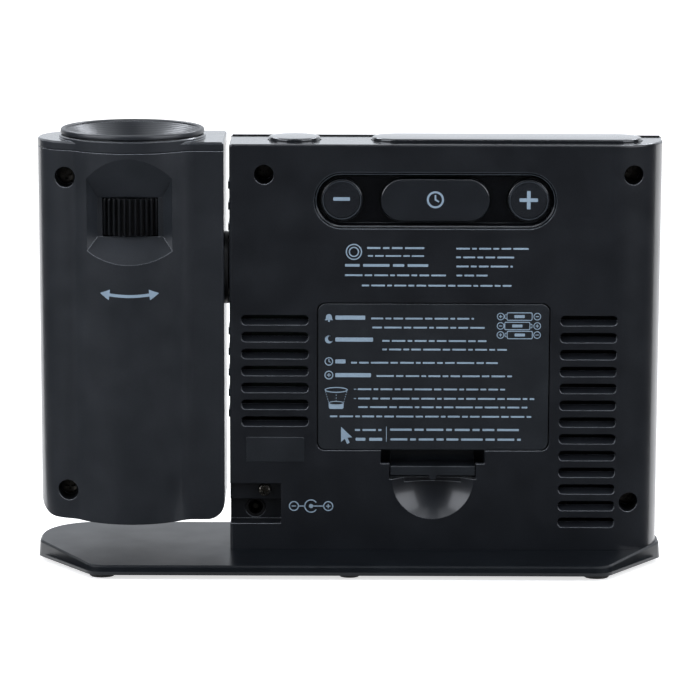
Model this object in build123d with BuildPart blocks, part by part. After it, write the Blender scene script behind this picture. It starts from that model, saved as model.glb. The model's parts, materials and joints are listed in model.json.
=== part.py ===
from build123d import *
import os
from math import ceil, cos, radians, sin, tan

# Projection alarm clock: a flat-backed display housing and a projector tower that
# tilts beside it, both leaning back on one wedge-shaped base plate.
#
# Row frame: millimetres, +Z up, +Y to the back of the clock, +X to the projector,
# origin on the table in the middle of the base plate.
# Body frame: the housing and the tower are modelled upright in it. Its x runs to the
# projector, y to the back and z up the back face. Its origin lies on the sloping top of
# the base plate, at the foot of the housing's back face. save() leans them back.

# ------------------------------------------------------------------ driving sizes
LEAN = 3.6                      # degrees that the body leans back
SLIP = 0.3                      # gap beside a part that moves
FIT = 0.1                       # gap beside a part that is pushed or screwed in
TRAVEL = 0.6                    # how far every button goes in
PAST = 1.0                      # how far a cut runs past the face that it opens

# base plate
BASE_LENGTH = 159.6
BASE_DEPTH = 48.0
BASE_REAR_THICKNESS = 2.4
BASE_CUT_X = 15.5               # rear corners are cut off on a slant
BASE_CUT_Y = 27.2
BASE_FRONT_RADIUS = 14.5
BASE_CUT_RADIUS = 5.0
BASE_DRAFT = 3.5                # degrees that the edge draws in towards the top
BASE_EDGE = 0.4                 # chamfer round the top
REAR_SETBACK = 17.4             # back face of the housing from the plate's rear edge
FOOT_HEIGHT = 1.2
FOOT_RECESS = 0.6
FOOT_RADIUS = 3.2
MIDDLE_FOOT_RADIUS = 2.6
FOOT_X = 62.0
FOOT_REAR_Y = 18.0
FOOT_FRONT_Y = -16.5

# display housing
HOUSING_END_X = -78.7           # rounded end
HOUSING_SIDE_X = 30.3           # flat side next to the tower
HOUSING_HEIGHT = 103.6
HOUSING_TOP_DEPTH = 18.7
HOUSING_FOOT_DEPTH = 25.0
WALL = 2.0
REAR_CORNER_RADIUS = 13.0       # rounded rear edge at the end
SIDE_EDGE_RADIUS = 0.8
TOP_EDGE_RADIUS = 0.6
BEZEL_RIM = 1.3                 # band of the bezel that shows from above
BEZEL_PLATE = 2.6
BEZEL_LIP = 4.6

# vents in the back: the ends of each column, in x
VENT_PITCH = 4.33
VENT_HEIGHT = 2.55
VENT_GAP = 1.3                  # open upper part of each slot, above its ramp
VENT_RADIUS = 1.15
VENT_TOP_Z = 60.5
END_VENTS_X = (-67.2, -52.8)
END_VENT_ROWS = 13
SIDE_VENTS_X = (10.4, 27.4)
SIDE_VENT_ROWS = 7

# rear buttons in the long recess of their glossy surround
KEYS_X = -21.2
KEYS_Z = 89.6
KEYS_LENGTH = 60.9
KEYS_HEIGHT = 14.4
KEYS_DEPTH = 2.2
KEYS_TAPER = 15.0               # degrees, slope of the recess wall
KEYS_BAND = 0.7                 # flat band round the recess
KEYS_BAND_EDGE = 0.3
KEYS_FLANGE = 1.2               # how far the surround reaches behind the cover
KEY_FLOOR = 1.2
ROUND_KEY_RADIUS = 5.2
ROUND_KEY_OFFSET = 23.35        # centre of the round keys from the middle of the recess
SET_KEY_LENGTH = 27.2
SET_KEY_HEIGHT = 10.6
KEY_PROUD = 0.3                 # face of the keys behind the back face
KEY_FLANGE = 0.8
KEY_FLANGE_LIP = 1.0
KEY_EDGE = 0.4                  # chamfer round the face of a key

# top buttons
TOP_KEY_Y = -10.1
TOP_KEY_WIDTH = 13.0
TOP_KEY_PROUD = 1.05
ALARM_KEY_X = 14.1
SNOOZE_START_X = -5.4
SNOOZE_END_X = -73.2

# battery bay for three cells that lie one above another
CELL_RADIUS = 5.25
CELL_PITCH = 10.9
CELL_PLAY = 0.05
BAY_X = -21.0
BAY_Z = 44.75
BAY_LENGTH = 50.6
BAY_MARGIN = 0.1
BAY_WALL = 1.0
BAY_RIM = 2.0
BAY_RIM_THICKNESS = 1.2
DOOR_LENGTH = 58.0
DOOR_OVERLAP = 2.35             # the door runs past the bay above and below
DOOR_THICKNESS = 1.7
DOOR_RADIUS = 2.0
TONGUE_X = 18.0
TONGUE_WIDTH = 5.0
TONGUE_LENGTH = 1.2
TONGUE_THICKNESS = 0.8

# latch of the battery door: a leaf that is bent into a U
LATCH_WIDTH = 21.3
LEAF = 1.0
LEAF_REACH = 6.0                # from the back face to the middle of the bend
TAB_DROP = 4.4                  # top of the tab, below the door's plate
TAB_HEIGHT = 2.3
TAB_HOOK = 0.5
TAB_NUB = 1.05                  # radius of the half-round stop under the tab
LATCH_GAP = 0.15
SLOT_WIDTH = 26.3
SLOT_DROP = 3.7                 # foot of the latch's slot, below the door's plate
SCOOP_DROP = 7.7                # middle of the finger hollow, below the door's plate
SCOOP_RADIUS = 10.3
SCOOP_DEPTH = 3.6

# power inlet in the lower corner by the tower
INLET_START_X = 17.4
INLET_BOTTOM_Z = 6.8
INLET_SHELF_Z = 12.6
INLET_TOP_Z = 17.2
INLET_SHELF_DEPTH = 3.0
INLET_DEPTH = 6.0
JACK_X = 24.0
JACK_Z = 9.7
JACK_NOSE_RADIUS = 2.5
JACK_BORE_RADIUS = 1.85
JACK_PIN_RADIUS = 0.65
JACK_BODY = (7.6, 5.4)          # width and height behind the inlet
JACK_LENGTH = 8.0
JACK_BORE_DEPTH = 7.0

# screws: x and z of the wells in the back face
WELL_RADIUS = 2.45
WELL_DEPTH = 10.0
WELL_FLOOR = 1.6
SCREW_X = 21.6
SCREW_END_X = -70.7
SCREW_TOP_Z = 96.0
SCREW_BOTTOM_Z = 12.4
INLET_SCREW_Z = 15.0
SCREW_HEAD_RADIUS = 2.2
INLET_HEAD_RADIUS = 1.65
SCREW_HEAD_EDGE = 0.5
SCREW_HEAD_HEIGHT = 1.5
SCREW_RADIUS = 1.1
SCREW_LENGTH = 7.0

# projector tower
GAP = 1.35                      # between the housing and the tower
TOWER_END_X = 78.9
TOWER_DEPTH = 24.4
TOWER_BOTTOM_Z = 7.8
TOWER_TOP_Z = 101.8
TOWER_WALL = 1.8
BARREL_X = 55.0
BULGE_RADIUS = 18.45
BULGE_BLEND = 5.0
TOWER_CORNER_RADIUS = 4.5
TOWER_SCREW_X = 71.3
TOWER_SCREW_TOP_Z = 95.1
TOWER_SCREW_BOTTOM_Z = 15.2
TOWER_WELL_RADIUS = 2.6
TOWER_WELL_DEPTH = 8.0
CAP_THICKNESS = 2.26
CAP_LIP = 1.2
CAP_LIP_WALL = 1.2
CAP_EDGE = 0.4                  # chamfer round the top of the cap
CAP_GROOVE = 0.25               # chamfer that shows the parting line under the cap
PIVOT_DEPTH = 10.2              # pivot axis behind the back face
PIVOT_Z = 71.0
PIVOT_RADIUS = 6.0              # shaft that turns in the housing's side
PIVOT_BORE = 3.6                # lets the wires through
PIVOT_NECK_RADIUS = 7.0         # held between the tower's shells
PIVOT_FLANGE = 1.2
PIVOT_FLANGE_RADIUS = 8.2
COLLAR_RADIUS = 9.15            # thrust collar in the gap
COLLAR_THICKNESS = 1.0
COLLAR_FLOAT = 0.3              # end play that the friction washer takes up
RETAINER_RADIUS = 7.6
RETAINER_THICKNESS = 2.0
WASHER_THICKNESS = 0.5

# thumbwheel and its scooped window
WHEEL_RADIUS = 13.3
WHEEL_RIB = 0.7
WHEEL_RIB_WIDTH = 0.5
WHEEL_RIBS = 60
WHEEL_WALL = 1.4
WINDOW_WIDTH = 16.4
WINDOW_BOTTOM_Z = 80.2
WINDOW_TOP_Z = 90.1
WINDOW_Y = -0.5
SCOOP_RISE = 1.54               # slopes of the four sides, per mm of depth
SCOOP_FALL = 0.925
SCOOP_SPREAD = 0.73
SCOOP_WALL = 1.4

# shroud around the lens
SHROUD_RADIUS = 18.1
SHROUD_TOP_Z = 106.4
SHROUD_THROAT = 7.0
SHROUD_STEPS = 9
SHROUD_BOTTOM_Z = 98.5
SHROUD_RIM = 1.3                # width of the rim
SHROUD_RIM_HEIGHT = 1.3
SHROUD_RIM_EDGE = 0.45
SHROUD_NECK_RADIUS = 17.0       # below the rim, where a shadow line shows
SHROUD_NECK = 0.3
SHROUD_SKIRT = 15.6             # radius of the part that stands in the cap
SHROUD_SKIRT_HEIGHT = 1.1
SHROUD_WALL = 2.2

# optics that turn with the wheel
TUBE_RADIUS = 8.0
TUBE_BORE = 6.5
TUBE_BOTTOM_Z = 53.0
TUBE_TOP_Z = 98.2
IMAGE_WINDOW = 6.0
IMAGE_PANEL = 8.6
RUN = 0.1                       # running fit of round parts

# display, switches and the other pieces inside
BEZEL_EDGE_RADIUS = 0.5
BEZEL_LIP_WALL = 1.2
DISPLAY_INSET = 2.6             # glossy window, in from the edge of the bezel
DISPLAY_THICKNESS = 1.2
DISPLAY_RADIUS = 3.0
VIEW_X = -24.5
VIEW_HEIGHT_UP = 54.0           # middle of the display, up the front face
VIEW_SIZE = (81.0, 70.0)
PANEL_SIZE = (85.0, 76.0)
PANEL_THICKNESS = 2.2
GUIDE_THICKNESS = 2.0
POST_RADIUS = 3.0
INLET_POST_RADIUS = 2.4
BOARD = 1.2                     # thickness of the circuit boards
SWITCH_SIDE = 6.0
SWITCH_HEIGHT = 3.0
PLUNGER_RADIUS = 1.6
PLUNGER_HEIGHT = 0.6
KEY_BOARD_SIZE = (58.0, 10.4)
KEY_POST_OFFSET = 15.9
KEY_POST_RADIUS = 1.0
TOP_BOARD_START_X = 17.0
TOP_BOARD_END_X = -50.0
TOP_BOARD_WIDTH = 8.4
TOP_POST_X = 1.1
TOP_POST_RADIUS = 1.5
TOP_POST_OFFSET = 2.1           # from the middle of the top keys, to the back and front
MAIN_BOARD_X = (9.0, 25.0)
MAIN_BOARD_Z = (20.0, 78.0)
MAIN_BOARD_DEPTH = 12.0         # its rear face behind the back face
MAIN_POST_RADIUS = 2.0
MAIN_POST_INSET = 3.0
BUZZER_X = -57.0
BUZZER_Z = 74.0
BUZZER_RADIUS = 8.0
BUZZER_HEIGHT = 2.5
BUZZER_HOLE_RADIUS = 2.0
BUZZER_HOLE_DEPTH = 1.25
ROD_RADIUS = 4.0
ROD_START_X = -14.0
ROD_END_X = -56.0
ROD_Y = -16.0
COIL_LENGTH = 16.0
COIL_RADIUS = 4.9
COIL_GAP = 0.05
BASE_SCREW_X = (-64.0, 6.0)
BASE_SCREW_Y = -15.0
BASE_BOSS_RADIUS = 3.2
BASE_BOSS_HEIGHT = 7.0
BASE_SCREW_DEPTH = 2.0          # top of the head below the housing's floor
BASE_SCREW_BORE = 2.4           # radius of the hole that takes the head
BASE_SCREW_HEAD = 1.4
SPRING_WIRE = 0.35              # radius
SPRING_RADIUS = 3.0
SPRING_TURNS = 3
SPRING_LENGTH = 4.4
CONTACT_THICKNESS = 0.4
CONTACT_SIDE = 8.4
RIB_PITCH = 5.3                 # ribs on the housing's side, beside the tower
RIB_HEIGHT = 1.9
RIB_PROUD = 0.45
RIB_DEPTH = 11.0
RIB_Z = (34.4, 92.7)            # lowest and highest rib
SADDLES = (60.0, 77.6, 91.0)    # undersides of the ribs that carry the lens tube
SADDLE = 1.5
LEDGE = 3.0                     # depth of the opening through the lamp board's ledge
LED_BOARD_Z = 46.0
LED_BOARD_SIZE = (26.0, 17.0)
LED_SIDE = 3.5
LED_HEIGHT = 1.4
CONDENSER_RADIUS = 6.6
CONDENSER_SKIRT = 1.4
CONDENSER_HOLLOW = 2.1          # height of the hollow over the lamp
CONDENSER_HEIGHT = 5.0
CONDENSER_RISE = 2.0
OBJECTIVE_Z = 92.5
OBJECTIVE_THICKNESS = 3.6
OBJECTIVE_RISE = 2.2

# ------------------------------------------------------------------ derived places
HOUSING_LENGTH = HOUSING_SIDE_X - HOUSING_END_X
HOUSING_MIDDLE_X = (HOUSING_SIDE_X + HOUSING_END_X) / 2
TOWER_SIDE_X = HOUSING_SIDE_X + GAP
AXIS_Y = -TOWER_DEPTH / 2       # wheel axis and parting plane of the tower
PIVOT_Y = -PIVOT_DEPTH
STAND_Y = BASE_DEPTH / 2 - REAR_SETBACK * cos(radians(LEAN))
STAND_Z = FOOT_HEIGHT + BASE_REAR_THICKNESS + REAR_SETBACK * sin(radians(LEAN))
STAND = Location((0, STAND_Y, STAND_Z), (-LEAN, 0, 0))
SLOPE = Plane(origin=(0, STAND_Y, STAND_Z), x_dir=(1, 0, 0),
              z_dir=(0, sin(radians(LEAN)), cos(radians(LEAN))))

FACE_RUN = (HOUSING_FOOT_DEPTH - HOUSING_TOP_DEPTH) / HOUSING_HEIGHT
FRONT = Plane(origin=(0, -HOUSING_FOOT_DEPTH, 0), x_dir=(1, 0, 0), z_dir=(0, -1, FACE_RUN))
RIM = FRONT.offset(-BEZEL_RIM)
FACE_HEIGHT = HOUSING_HEIGHT * (1 + FACE_RUN ** 2) ** 0.5
TUBE_WALL = 1.2                 # wall round a well or a recess, inside the shells
WELLS = [(SCREW_X, SCREW_TOP_Z), (SCREW_END_X, SCREW_TOP_Z), (SCREW_END_X, SCREW_BOTTOM_Z)]
INLET_SCREW = (SCREW_X, INLET_SCREW_Z)
TOWER_SCREWS = [(TOWER_SCREW_X, TOWER_SCREW_TOP_Z), (TOWER_SCREW_X, TOWER_SCREW_BOTTOM_Z)]

BAY_HALF = CELL_PITCH + CELL_RADIUS + CELL_PLAY + BAY_MARGIN
DOOR_HEIGHT = 2 * (BAY_HALF + DOOR_OVERLAP)
DOOR_TOP_Z = BAY_Z + DOOR_HEIGHT / 2
DOOR_BOTTOM_Z = BAY_Z - DOOR_HEIGHT / 2
TAB_TOP_Z = DOOR_BOTTOM_Z - TAB_DROP
TAB_BOTTOM_Z = TAB_TOP_Z - TAB_HEIGHT
SLOT_BOTTOM_Z = DOOR_BOTTOM_Z - SLOT_DROP
SCOOP_Z = DOOR_BOTTOM_Z - SCOOP_DROP
BAY_DEPTH = WALL + 2 * (CELL_RADIUS + CELL_PLAY)
CELL_Y = -WALL - CELL_RADIUS - CELL_PLAY
LEG_TOP_Z = DOOR_BOTTOM_Z + LEAF
BEND_RADIUS = (LEG_TOP_Z - TAB_TOP_Z + LEAF) / 2
BEND_Z = LEG_TOP_Z - BEND_RADIUS
POCKET_DEPTH = LEAF_REACH + BEND_RADIUS + SLIP
POCKET_BOTTOM_Z = TAB_BOTTOM_Z - TAB_HOOK - SLIP

ROUND_KEYS = {"minus_button": KEYS_X + ROUND_KEY_OFFSET, "plus_button": KEYS_X - ROUND_KEY_OFFSET}
KEY_SEAT = KEYS_DEPTH + KEY_FLOOR + FIT           # front of the key flanges, behind the back face
KEY_SWITCH_DEPTH = KEY_SEAT + KEY_FLANGE + TRAVEL + FIT
KEY_BOARD_DEPTH = KEY_SWITCH_DEPTH + PLUNGER_HEIGHT + SWITCH_HEIGHT
TOP_SEAT_Z = HOUSING_HEIGHT - WALL - FIT
TOP_SWITCH_Z = TOP_SEAT_Z - KEY_FLANGE - TRAVEL - FIT
TOP_BOARD_Z = TOP_SWITCH_Z - PLUNGER_HEIGHT - SWITCH_HEIGHT
SNOOZE_X = (SNOOZE_START_X + SNOOZE_END_X) / 2
SNOOZE_LENGTH = SNOOZE_START_X - SNOOZE_END_X
RIM_BOTTOM_Z = SHROUD_TOP_Z - SHROUD_RIM_HEIGHT
COLLAR_TOP_Z = RIM_BOTTOM_Z - SHROUD_NECK         # raised collar of the cap, under the neck

os.makedirs("parts", exist_ok=True)


def save(builder, name, leaning=True):
    """Label a finished part and write it, leaned back with the body unless told otherwise."""
    part = builder.part.moved(STAND) if leaning else builder.part
    part.label = name
    export_step(part, f"parts/{name}.step")


def dome_radius(radius, rise):
    """Radius of the sphere whose cap has this radius and rise."""
    return (radius ** 2 + rise ** 2) / (2 * rise)


def deep(depth):
    """Plane parallel to the back face, depth behind it; extruding runs towards the front."""
    return Plane.XZ.offset(depth)


# ------------------------------------------------------------------ base
with BuildPart() as base_screws:
    with Locations(*[(x, BASE_SCREW_Y, -BASE_SCREW_DEPTH) for x in BASE_SCREW_X]):
        Cylinder(SCREW_HEAD_RADIUS, BASE_SCREW_HEAD, align=(Align.CENTER, Align.CENTER, Align.MAX))
        Cylinder(SCREW_RADIUS, SCREW_LENGTH, align=(Align.CENTER, Align.CENTER, Align.MIN))
save(base_screws, "base_screws")

with BuildPart() as base_screw_holes:
    with Locations(*[(x, BASE_SCREW_Y, -BASE_SCREW_DEPTH) for x in BASE_SCREW_X]):
        Cylinder(BASE_SCREW_BORE, BASE_DEPTH, align=(Align.CENTER, Align.CENTER, Align.MAX))
        Cylinder(SCREW_RADIUS + FIT, BASE_DEPTH, align=(Align.CENTER, Align.CENTER, Align.MIN))

with BuildPart() as base_plate:
    half_x = BASE_LENGTH / 2
    half_y = BASE_DEPTH / 2
    with BuildSketch(Plane.XY.offset(FOOT_HEIGHT)) as base_outline:
        with BuildLine():
            Polyline((-half_x, -half_y), (half_x, -half_y), (half_x, half_y - BASE_CUT_Y),
                     (half_x - BASE_CUT_X, half_y), (BASE_CUT_X - half_x, half_y),
                     (-half_x, half_y - BASE_CUT_Y), close=True)
        make_face()
        fillet(base_outline.vertices().group_by(Axis.Y)[0], BASE_FRONT_RADIUS)
        fillet(base_outline.vertices().filter_by(lambda v: v.Y > half_y - BASE_CUT_Y - PAST),
               BASE_CUT_RADIUS)
    extrude(amount=BASE_REAR_THICKNESS + BASE_DEPTH * tan(radians(LEAN)) + PAST, taper=BASE_DRAFT)
    split(bisect_by=SLOPE, keep=Keep.BOTTOM)
    chamfer(base_plate.faces().sort_by(Axis.Z)[-1].edges(), BASE_EDGE)
    # pockets for the feet, and the holes for the screws that hold the housing down
    with BuildSketch(Plane.XY.offset(FOOT_HEIGHT)):
        with Locations((0, FOOT_REAR_Y), (0, FOOT_FRONT_Y)):
            Circle(MIDDLE_FOOT_RADIUS + FIT)
            with Locations((FOOT_X, 0), (-FOOT_X, 0)):
                Circle(FOOT_RADIUS + FIT)
    extrude(amount=FOOT_RECESS, mode=Mode.SUBTRACT)
    add(base_screw_holes.part.moved(STAND), mode=Mode.SUBTRACT)
save(base_plate, "base_plate", leaning=False)

with BuildPart() as rubber_feet:
    with BuildSketch():
        with Locations((0, FOOT_REAR_Y), (0, FOOT_FRONT_Y)):
            Circle(MIDDLE_FOOT_RADIUS)
            with Locations((FOOT_X, 0), (-FOOT_X, 0)):
                Circle(FOOT_RADIUS)
    extrude(amount=FOOT_HEIGHT + FOOT_RECESS)
    chamfer(rubber_feet.faces().group_by(Axis.Z)[0].edges(), FOOT_RECESS / 2)
save(rubber_feet, "rubber_feet", leaning=False)


# ------------------------------------------------------------------ display housing
def housing_plan(inset):
    """Plan of the display housing drawn in by inset; it runs past the slanted front."""
    with BuildSketch() as plan:
        with Locations((HOUSING_MIDDLE_X, -inset)):
            Rectangle(HOUSING_LENGTH - 2 * inset, HOUSING_FOOT_DEPTH + 2 * PAST,
                      align=(Align.CENTER, Align.MAX))
        rear = plan.vertices().group_by(Axis.Y)[-1].sort_by(Axis.X)
        fillet(rear[0], REAR_CORNER_RADIUS - inset)
        if inset < SIDE_EDGE_RADIUS:
            fillet(plan.vertices().group_by(Axis.Y)[-1].sort_by(Axis.X)[-1], SIDE_EDGE_RADIUS - inset)
    return plan.sketch


def dome(tip, axis, radius, rise):
    """Sphere whose cap has this radius and rise, with its tip at the point tip along axis."""
    ball = dome_radius(radius, rise)
    return Location(Vector(*tip) - Vector(*axis) * ball, (0, 90, 0)) * Sphere(ball)


def round_key(x):
    """Round key at x in the rear recess, with the flange that keeps it in."""
    with BuildPart() as key:
        with BuildSketch(deep(KEY_PROUD)):
            with Locations((x, KEYS_Z)):
                Circle(ROUND_KEY_RADIUS)
        extrude(amount=KEY_SEAT + KEY_FLANGE - KEY_PROUD)
        chamfer(key.faces().sort_by(Axis.Y)[-1].edges(), KEY_EDGE)
        with BuildSketch(deep(KEY_SEAT)):
            with Locations((x, KEYS_Z)):
                Circle(ROUND_KEY_RADIUS + KEY_FLANGE_LIP)
        extrude(amount=KEY_FLANGE)
    return key


def long_key(length, width, top, seat, flange_width, plane):
    """Long key with round ends, its face at top and its flange at seat, both above the plane."""
    with BuildPart() as key:
        with BuildSketch(plane.offset(seat)):
            SlotOverall(length, width)
        extrude(amount=top - seat)
        chamfer(key.faces().sort_by(Axis(plane.origin, plane.z_dir))[-1].edges(), KEY_EDGE)
        with BuildSketch(plane.offset(seat)):
            SlotOverall(length + 2 * KEY_FLANGE_LIP, flange_width)
        extrude(amount=-KEY_FLANGE)
    return key


def tact_switches(plane, places):
    """Square push switches with round plungers; the plane is the face of their board."""
    with BuildPart() as switches:
        with BuildSketch(plane):
            with Locations(*places):
                Rectangle(SWITCH_SIDE, SWITCH_SIDE)
        extrude(amount=SWITCH_HEIGHT)
        with BuildSketch(plane.offset(SWITCH_HEIGHT)):
            with Locations(*places):
                Circle(PLUNGER_RADIUS)
        extrude(amount=PLUNGER_HEIGHT)
    return switches


def screws(places, depth, head_radius):
    """Screws from the back, their heads seated at depth."""
    with BuildPart() as group:
        with BuildSketch(deep(depth - SCREW_HEAD_HEIGHT)):
            with Locations(*places):
                Circle(head_radius)
        extrude(amount=SCREW_HEAD_HEIGHT)
        chamfer(group.faces().group_by(Axis.Y)[-1].edges(), SCREW_HEAD_EDGE)
        with BuildSketch(deep(depth)):
            with Locations(*places):
                Circle(SCREW_RADIUS)
        extrude(amount=SCREW_LENGTH)
    return group


def louvre(length):
    """Cutter for one vent slot, its top edge at z = 0; a ramp fills its lower part."""
    with BuildPart() as slot:
        with BuildSketch(deep(-PAST)):
            with Locations((0, -VENT_HEIGHT / 2)):
                RectangleRounded(length, VENT_HEIGHT, VENT_RADIUS)
        extrude(amount=WALL + 2 * PAST)
        with BuildSketch(Plane.YZ):
            with BuildLine():
                Polyline((0, -VENT_HEIGHT), (-WALL, -VENT_GAP), (-2 * WALL, -VENT_GAP),
                         (-2 * WALL, -2 * VENT_HEIGHT), (0, -2 * VENT_HEIGHT), close=True)
            make_face()
        extrude(amount=length, both=True, mode=Mode.SUBTRACT)
    return slot.part


def top_key_plan(gap, flange):
    """Outline of both top buttons grown by gap all round, and by flange at their ends."""
    with BuildSketch() as plan:
        with Locations((ALARM_KEY_X, TOP_KEY_Y)):
            SlotOverall(TOP_KEY_WIDTH + 2 * (gap + flange), TOP_KEY_WIDTH + 2 * gap)
        with Locations((SNOOZE_X, TOP_KEY_Y)):
            SlotOverall(SNOOZE_LENGTH + 2 * (gap + flange), TOP_KEY_WIDTH + 2 * gap)
    return plan.sketch


def inlet_step(depth, top, wall):
    """Block that the power inlet takes up to one depth and height, grown by wall."""
    with BuildPart() as block:
        with BuildSketch(deep(-wall)):
            with Locations((INLET_START_X - wall, INLET_BOTTOM_Z - wall)):
                Rectangle(HOUSING_SIDE_X - INLET_START_X + 2 * wall + PAST,
                          top - INLET_BOTTOM_Z + 2 * wall, align=(Align.MIN, Align.MIN))
        extrude(amount=depth + 2 * wall)
    return block.part


def finger_scoop(wall, top):
    """Lower part of the round hollow under the latch, up to top and grown by wall."""
    radius = dome_radius(SCOOP_RADIUS, SCOOP_DEPTH)
    with BuildPart() as scoop:
        with Locations((BAY_X, radius - SCOOP_DEPTH, SCOOP_Z)):
            Sphere(radius + wall)
        split(bisect_by=Plane.XY.offset(top), keep=Keep.BOTTOM)
    return scoop.part


outer_plan = housing_plan(0)
inner_plan = housing_plan(WALL)
inlet_lower = inlet_step(INLET_DEPTH, INLET_SHELF_Z, 0)
inlet_upper = inlet_step(INLET_SHELF_DEPTH, INLET_TOP_Z, 0)
inlet_walls = inlet_step(INLET_DEPTH, INLET_SHELF_Z, TUBE_WALL)
shelf_walls = inlet_step(INLET_SHELF_DEPTH, INLET_TOP_Z, TUBE_WALL)
scoop_cut = finger_scoop(0, SCOOP_Z)
scoop_wall = finger_scoop(TUBE_WALL, POCKET_BOTTOM_Z - TUBE_WALL - FIT)
VENTS = ((END_VENTS_X, END_VENT_ROWS), (SIDE_VENTS_X, SIDE_VENT_ROWS))
KEY_POSTS = [(KEYS_X - KEY_POST_OFFSET, KEYS_Z), (KEYS_X + KEY_POST_OFFSET, KEYS_Z)]
MAIN_POSTS = [(x, z) for x in (MAIN_BOARD_X[0] + MAIN_POST_INSET, MAIN_BOARD_X[1] - MAIN_POST_INSET)
              for z in (MAIN_BOARD_Z[0] + MAIN_POST_INSET, MAIN_BOARD_Z[1] - MAIN_POST_INSET)]
TOP_POSTS = [(TOP_POST_X, TOP_KEY_Y - TOP_POST_OFFSET), (TOP_POST_X, TOP_KEY_Y + TOP_POST_OFFSET)]

# room inside the shells; what is taken out of it stays as wall, tube or post
with BuildPart() as housing_room:
    with BuildSketch(Plane.XY.offset(WALL)):
        add(inner_plan)
    extrude(amount=HOUSING_HEIGHT - 2 * WALL)
    with BuildSketch(deep(0)):
        with Locations(*WELLS):
            Circle(WELL_RADIUS + TUBE_WALL)
    extrude(amount=WELL_DEPTH + WELL_FLOOR, mode=Mode.SUBTRACT)
    with BuildSketch(deep(0)):
        with Locations(INLET_SCREW):
            Circle(INLET_POST_RADIUS)
    extrude(amount=INLET_DEPTH + TUBE_WALL, mode=Mode.SUBTRACT)
    with BuildSketch(deep(0)):
        with Locations(*MAIN_POSTS):
            Circle(MAIN_POST_RADIUS)
    extrude(amount=MAIN_BOARD_DEPTH, mode=Mode.SUBTRACT)
    with BuildSketch(Plane.XY.offset(TOP_BOARD_Z)):
        with Locations(*TOP_POSTS):
            Circle(TOP_POST_RADIUS)
    extrude(amount=HOUSING_HEIGHT - TOP_BOARD_Z, mode=Mode.SUBTRACT)
    with Locations(*[(x, BASE_SCREW_Y, 0) for x in BASE_SCREW_X]):
        Cylinder(BASE_BOSS_RADIUS, BASE_BOSS_HEIGHT, align=(Align.CENTER, Align.CENTER, Align.MIN),
                 mode=Mode.SUBTRACT)
    add([inlet_walls, shelf_walls, scoop_wall], mode=Mode.SUBTRACT)

with BuildPart() as back_cover:
    with BuildSketch():
        add(outer_plan)
    extrude(amount=HOUSING_HEIGHT)
    fillet(back_cover.faces().sort_by(Axis.Z)[-1].edges().filter_by(
        lambda e: e.center().Y > -HOUSING_FOOT_DEPTH), TOP_EDGE_RADIUS)
    split(bisect_by=RIM, keep=Keep.BOTTOM)
    add(housing_room.part, mode=Mode.SUBTRACT)
    # ribs on the side, beside the tower
    rib_count = round((RIB_Z[1] - RIB_Z[0]) / RIB_PITCH) + 1
    rib_heights = [RIB_Z[0] + n * RIB_PITCH for n in range(rib_count)]
    with Locations(*[(HOUSING_SIDE_X, PIVOT_Y, z) for z in rib_heights
                     if abs(z - PIVOT_Z) > COLLAR_RADIUS + RIB_HEIGHT]):
        Box(2 * RIB_PROUD, RIB_DEPTH, RIB_HEIGHT)
    # screw wells
    with BuildSketch(deep(-PAST)):
        with Locations(*WELLS):
            Circle(WELL_RADIUS)
    extrude(amount=WELL_DEPTH + PAST, mode=Mode.SUBTRACT)
    with BuildSketch(deep(0)):
        with Locations(*WELLS, INLET_SCREW):
            Circle(SCREW_RADIUS + FIT)
    extrude(amount=WELL_DEPTH + WELL_FLOOR + PAST, mode=Mode.SUBTRACT)
    add(base_screw_holes.part, mode=Mode.SUBTRACT)
    # hole that the surround of the rear keys stands in
    with BuildSketch(deep(-PAST)):
        with Locations((KEYS_X, KEYS_Z)):
            SlotOverall(KEYS_LENGTH, KEYS_HEIGHT)
    extrude(amount=WALL + 2 * PAST, mode=Mode.SUBTRACT)
    # holes for the top buttons
    with BuildSketch(Plane.XY.offset(HOUSING_HEIGHT - WALL)):
        add(top_key_plan(SLIP, 0))
    extrude(amount=WALL + PAST, mode=Mode.SUBTRACT)
    # opening of the battery bay, the slot of its latch and the hollow for a finger
    with BuildSketch(deep(-PAST)):
        with Locations((BAY_X, BAY_Z)):
            RectangleRounded(DOOR_LENGTH + 2 * SLIP, DOOR_HEIGHT + 2 * SLIP, DOOR_RADIUS)
        with Locations((BAY_X, DOOR_BOTTOM_Z)):
            Rectangle(SLOT_WIDTH, SLOT_DROP, align=(Align.CENTER, Align.MAX))
            Rectangle(LATCH_WIDTH + 2 * SLIP, SCOOP_DROP, align=(Align.CENTER, Align.MAX))
    extrude(amount=WALL + PAST, mode=Mode.SUBTRACT)
    add(scoop_cut, mode=Mode.SUBTRACT)
    # stepped recess of the power inlet, open to the side, and the hole for the jack's nose
    add([inlet_lower, inlet_upper], mode=Mode.SUBTRACT)
    with BuildSketch(deep(INLET_DEPTH)):
        with Locations((JACK_X, JACK_Z)):
            Circle(JACK_NOSE_RADIUS + FIT)
    extrude(amount=TUBE_WALL + PAST, mode=Mode.SUBTRACT)
    # hole that the tower's pivot turns in
    with BuildSketch(Plane.YZ.offset(HOUSING_SIDE_X + PAST)):
        with Locations((PIVOT_Y, PIVOT_Z)):
            Circle(PIVOT_RADIUS + RUN)
    extrude(amount=-WALL - PAST, mode=Mode.SUBTRACT)
    # vents
    for (start, end), rows in VENTS:
        with Locations(*[((start + end) / 2, 0, VENT_TOP_Z - n * VENT_PITCH) for n in range(rows)]):
            add(louvre(end - start), mode=Mode.SUBTRACT)
save(back_cover, "back_cover")

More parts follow.
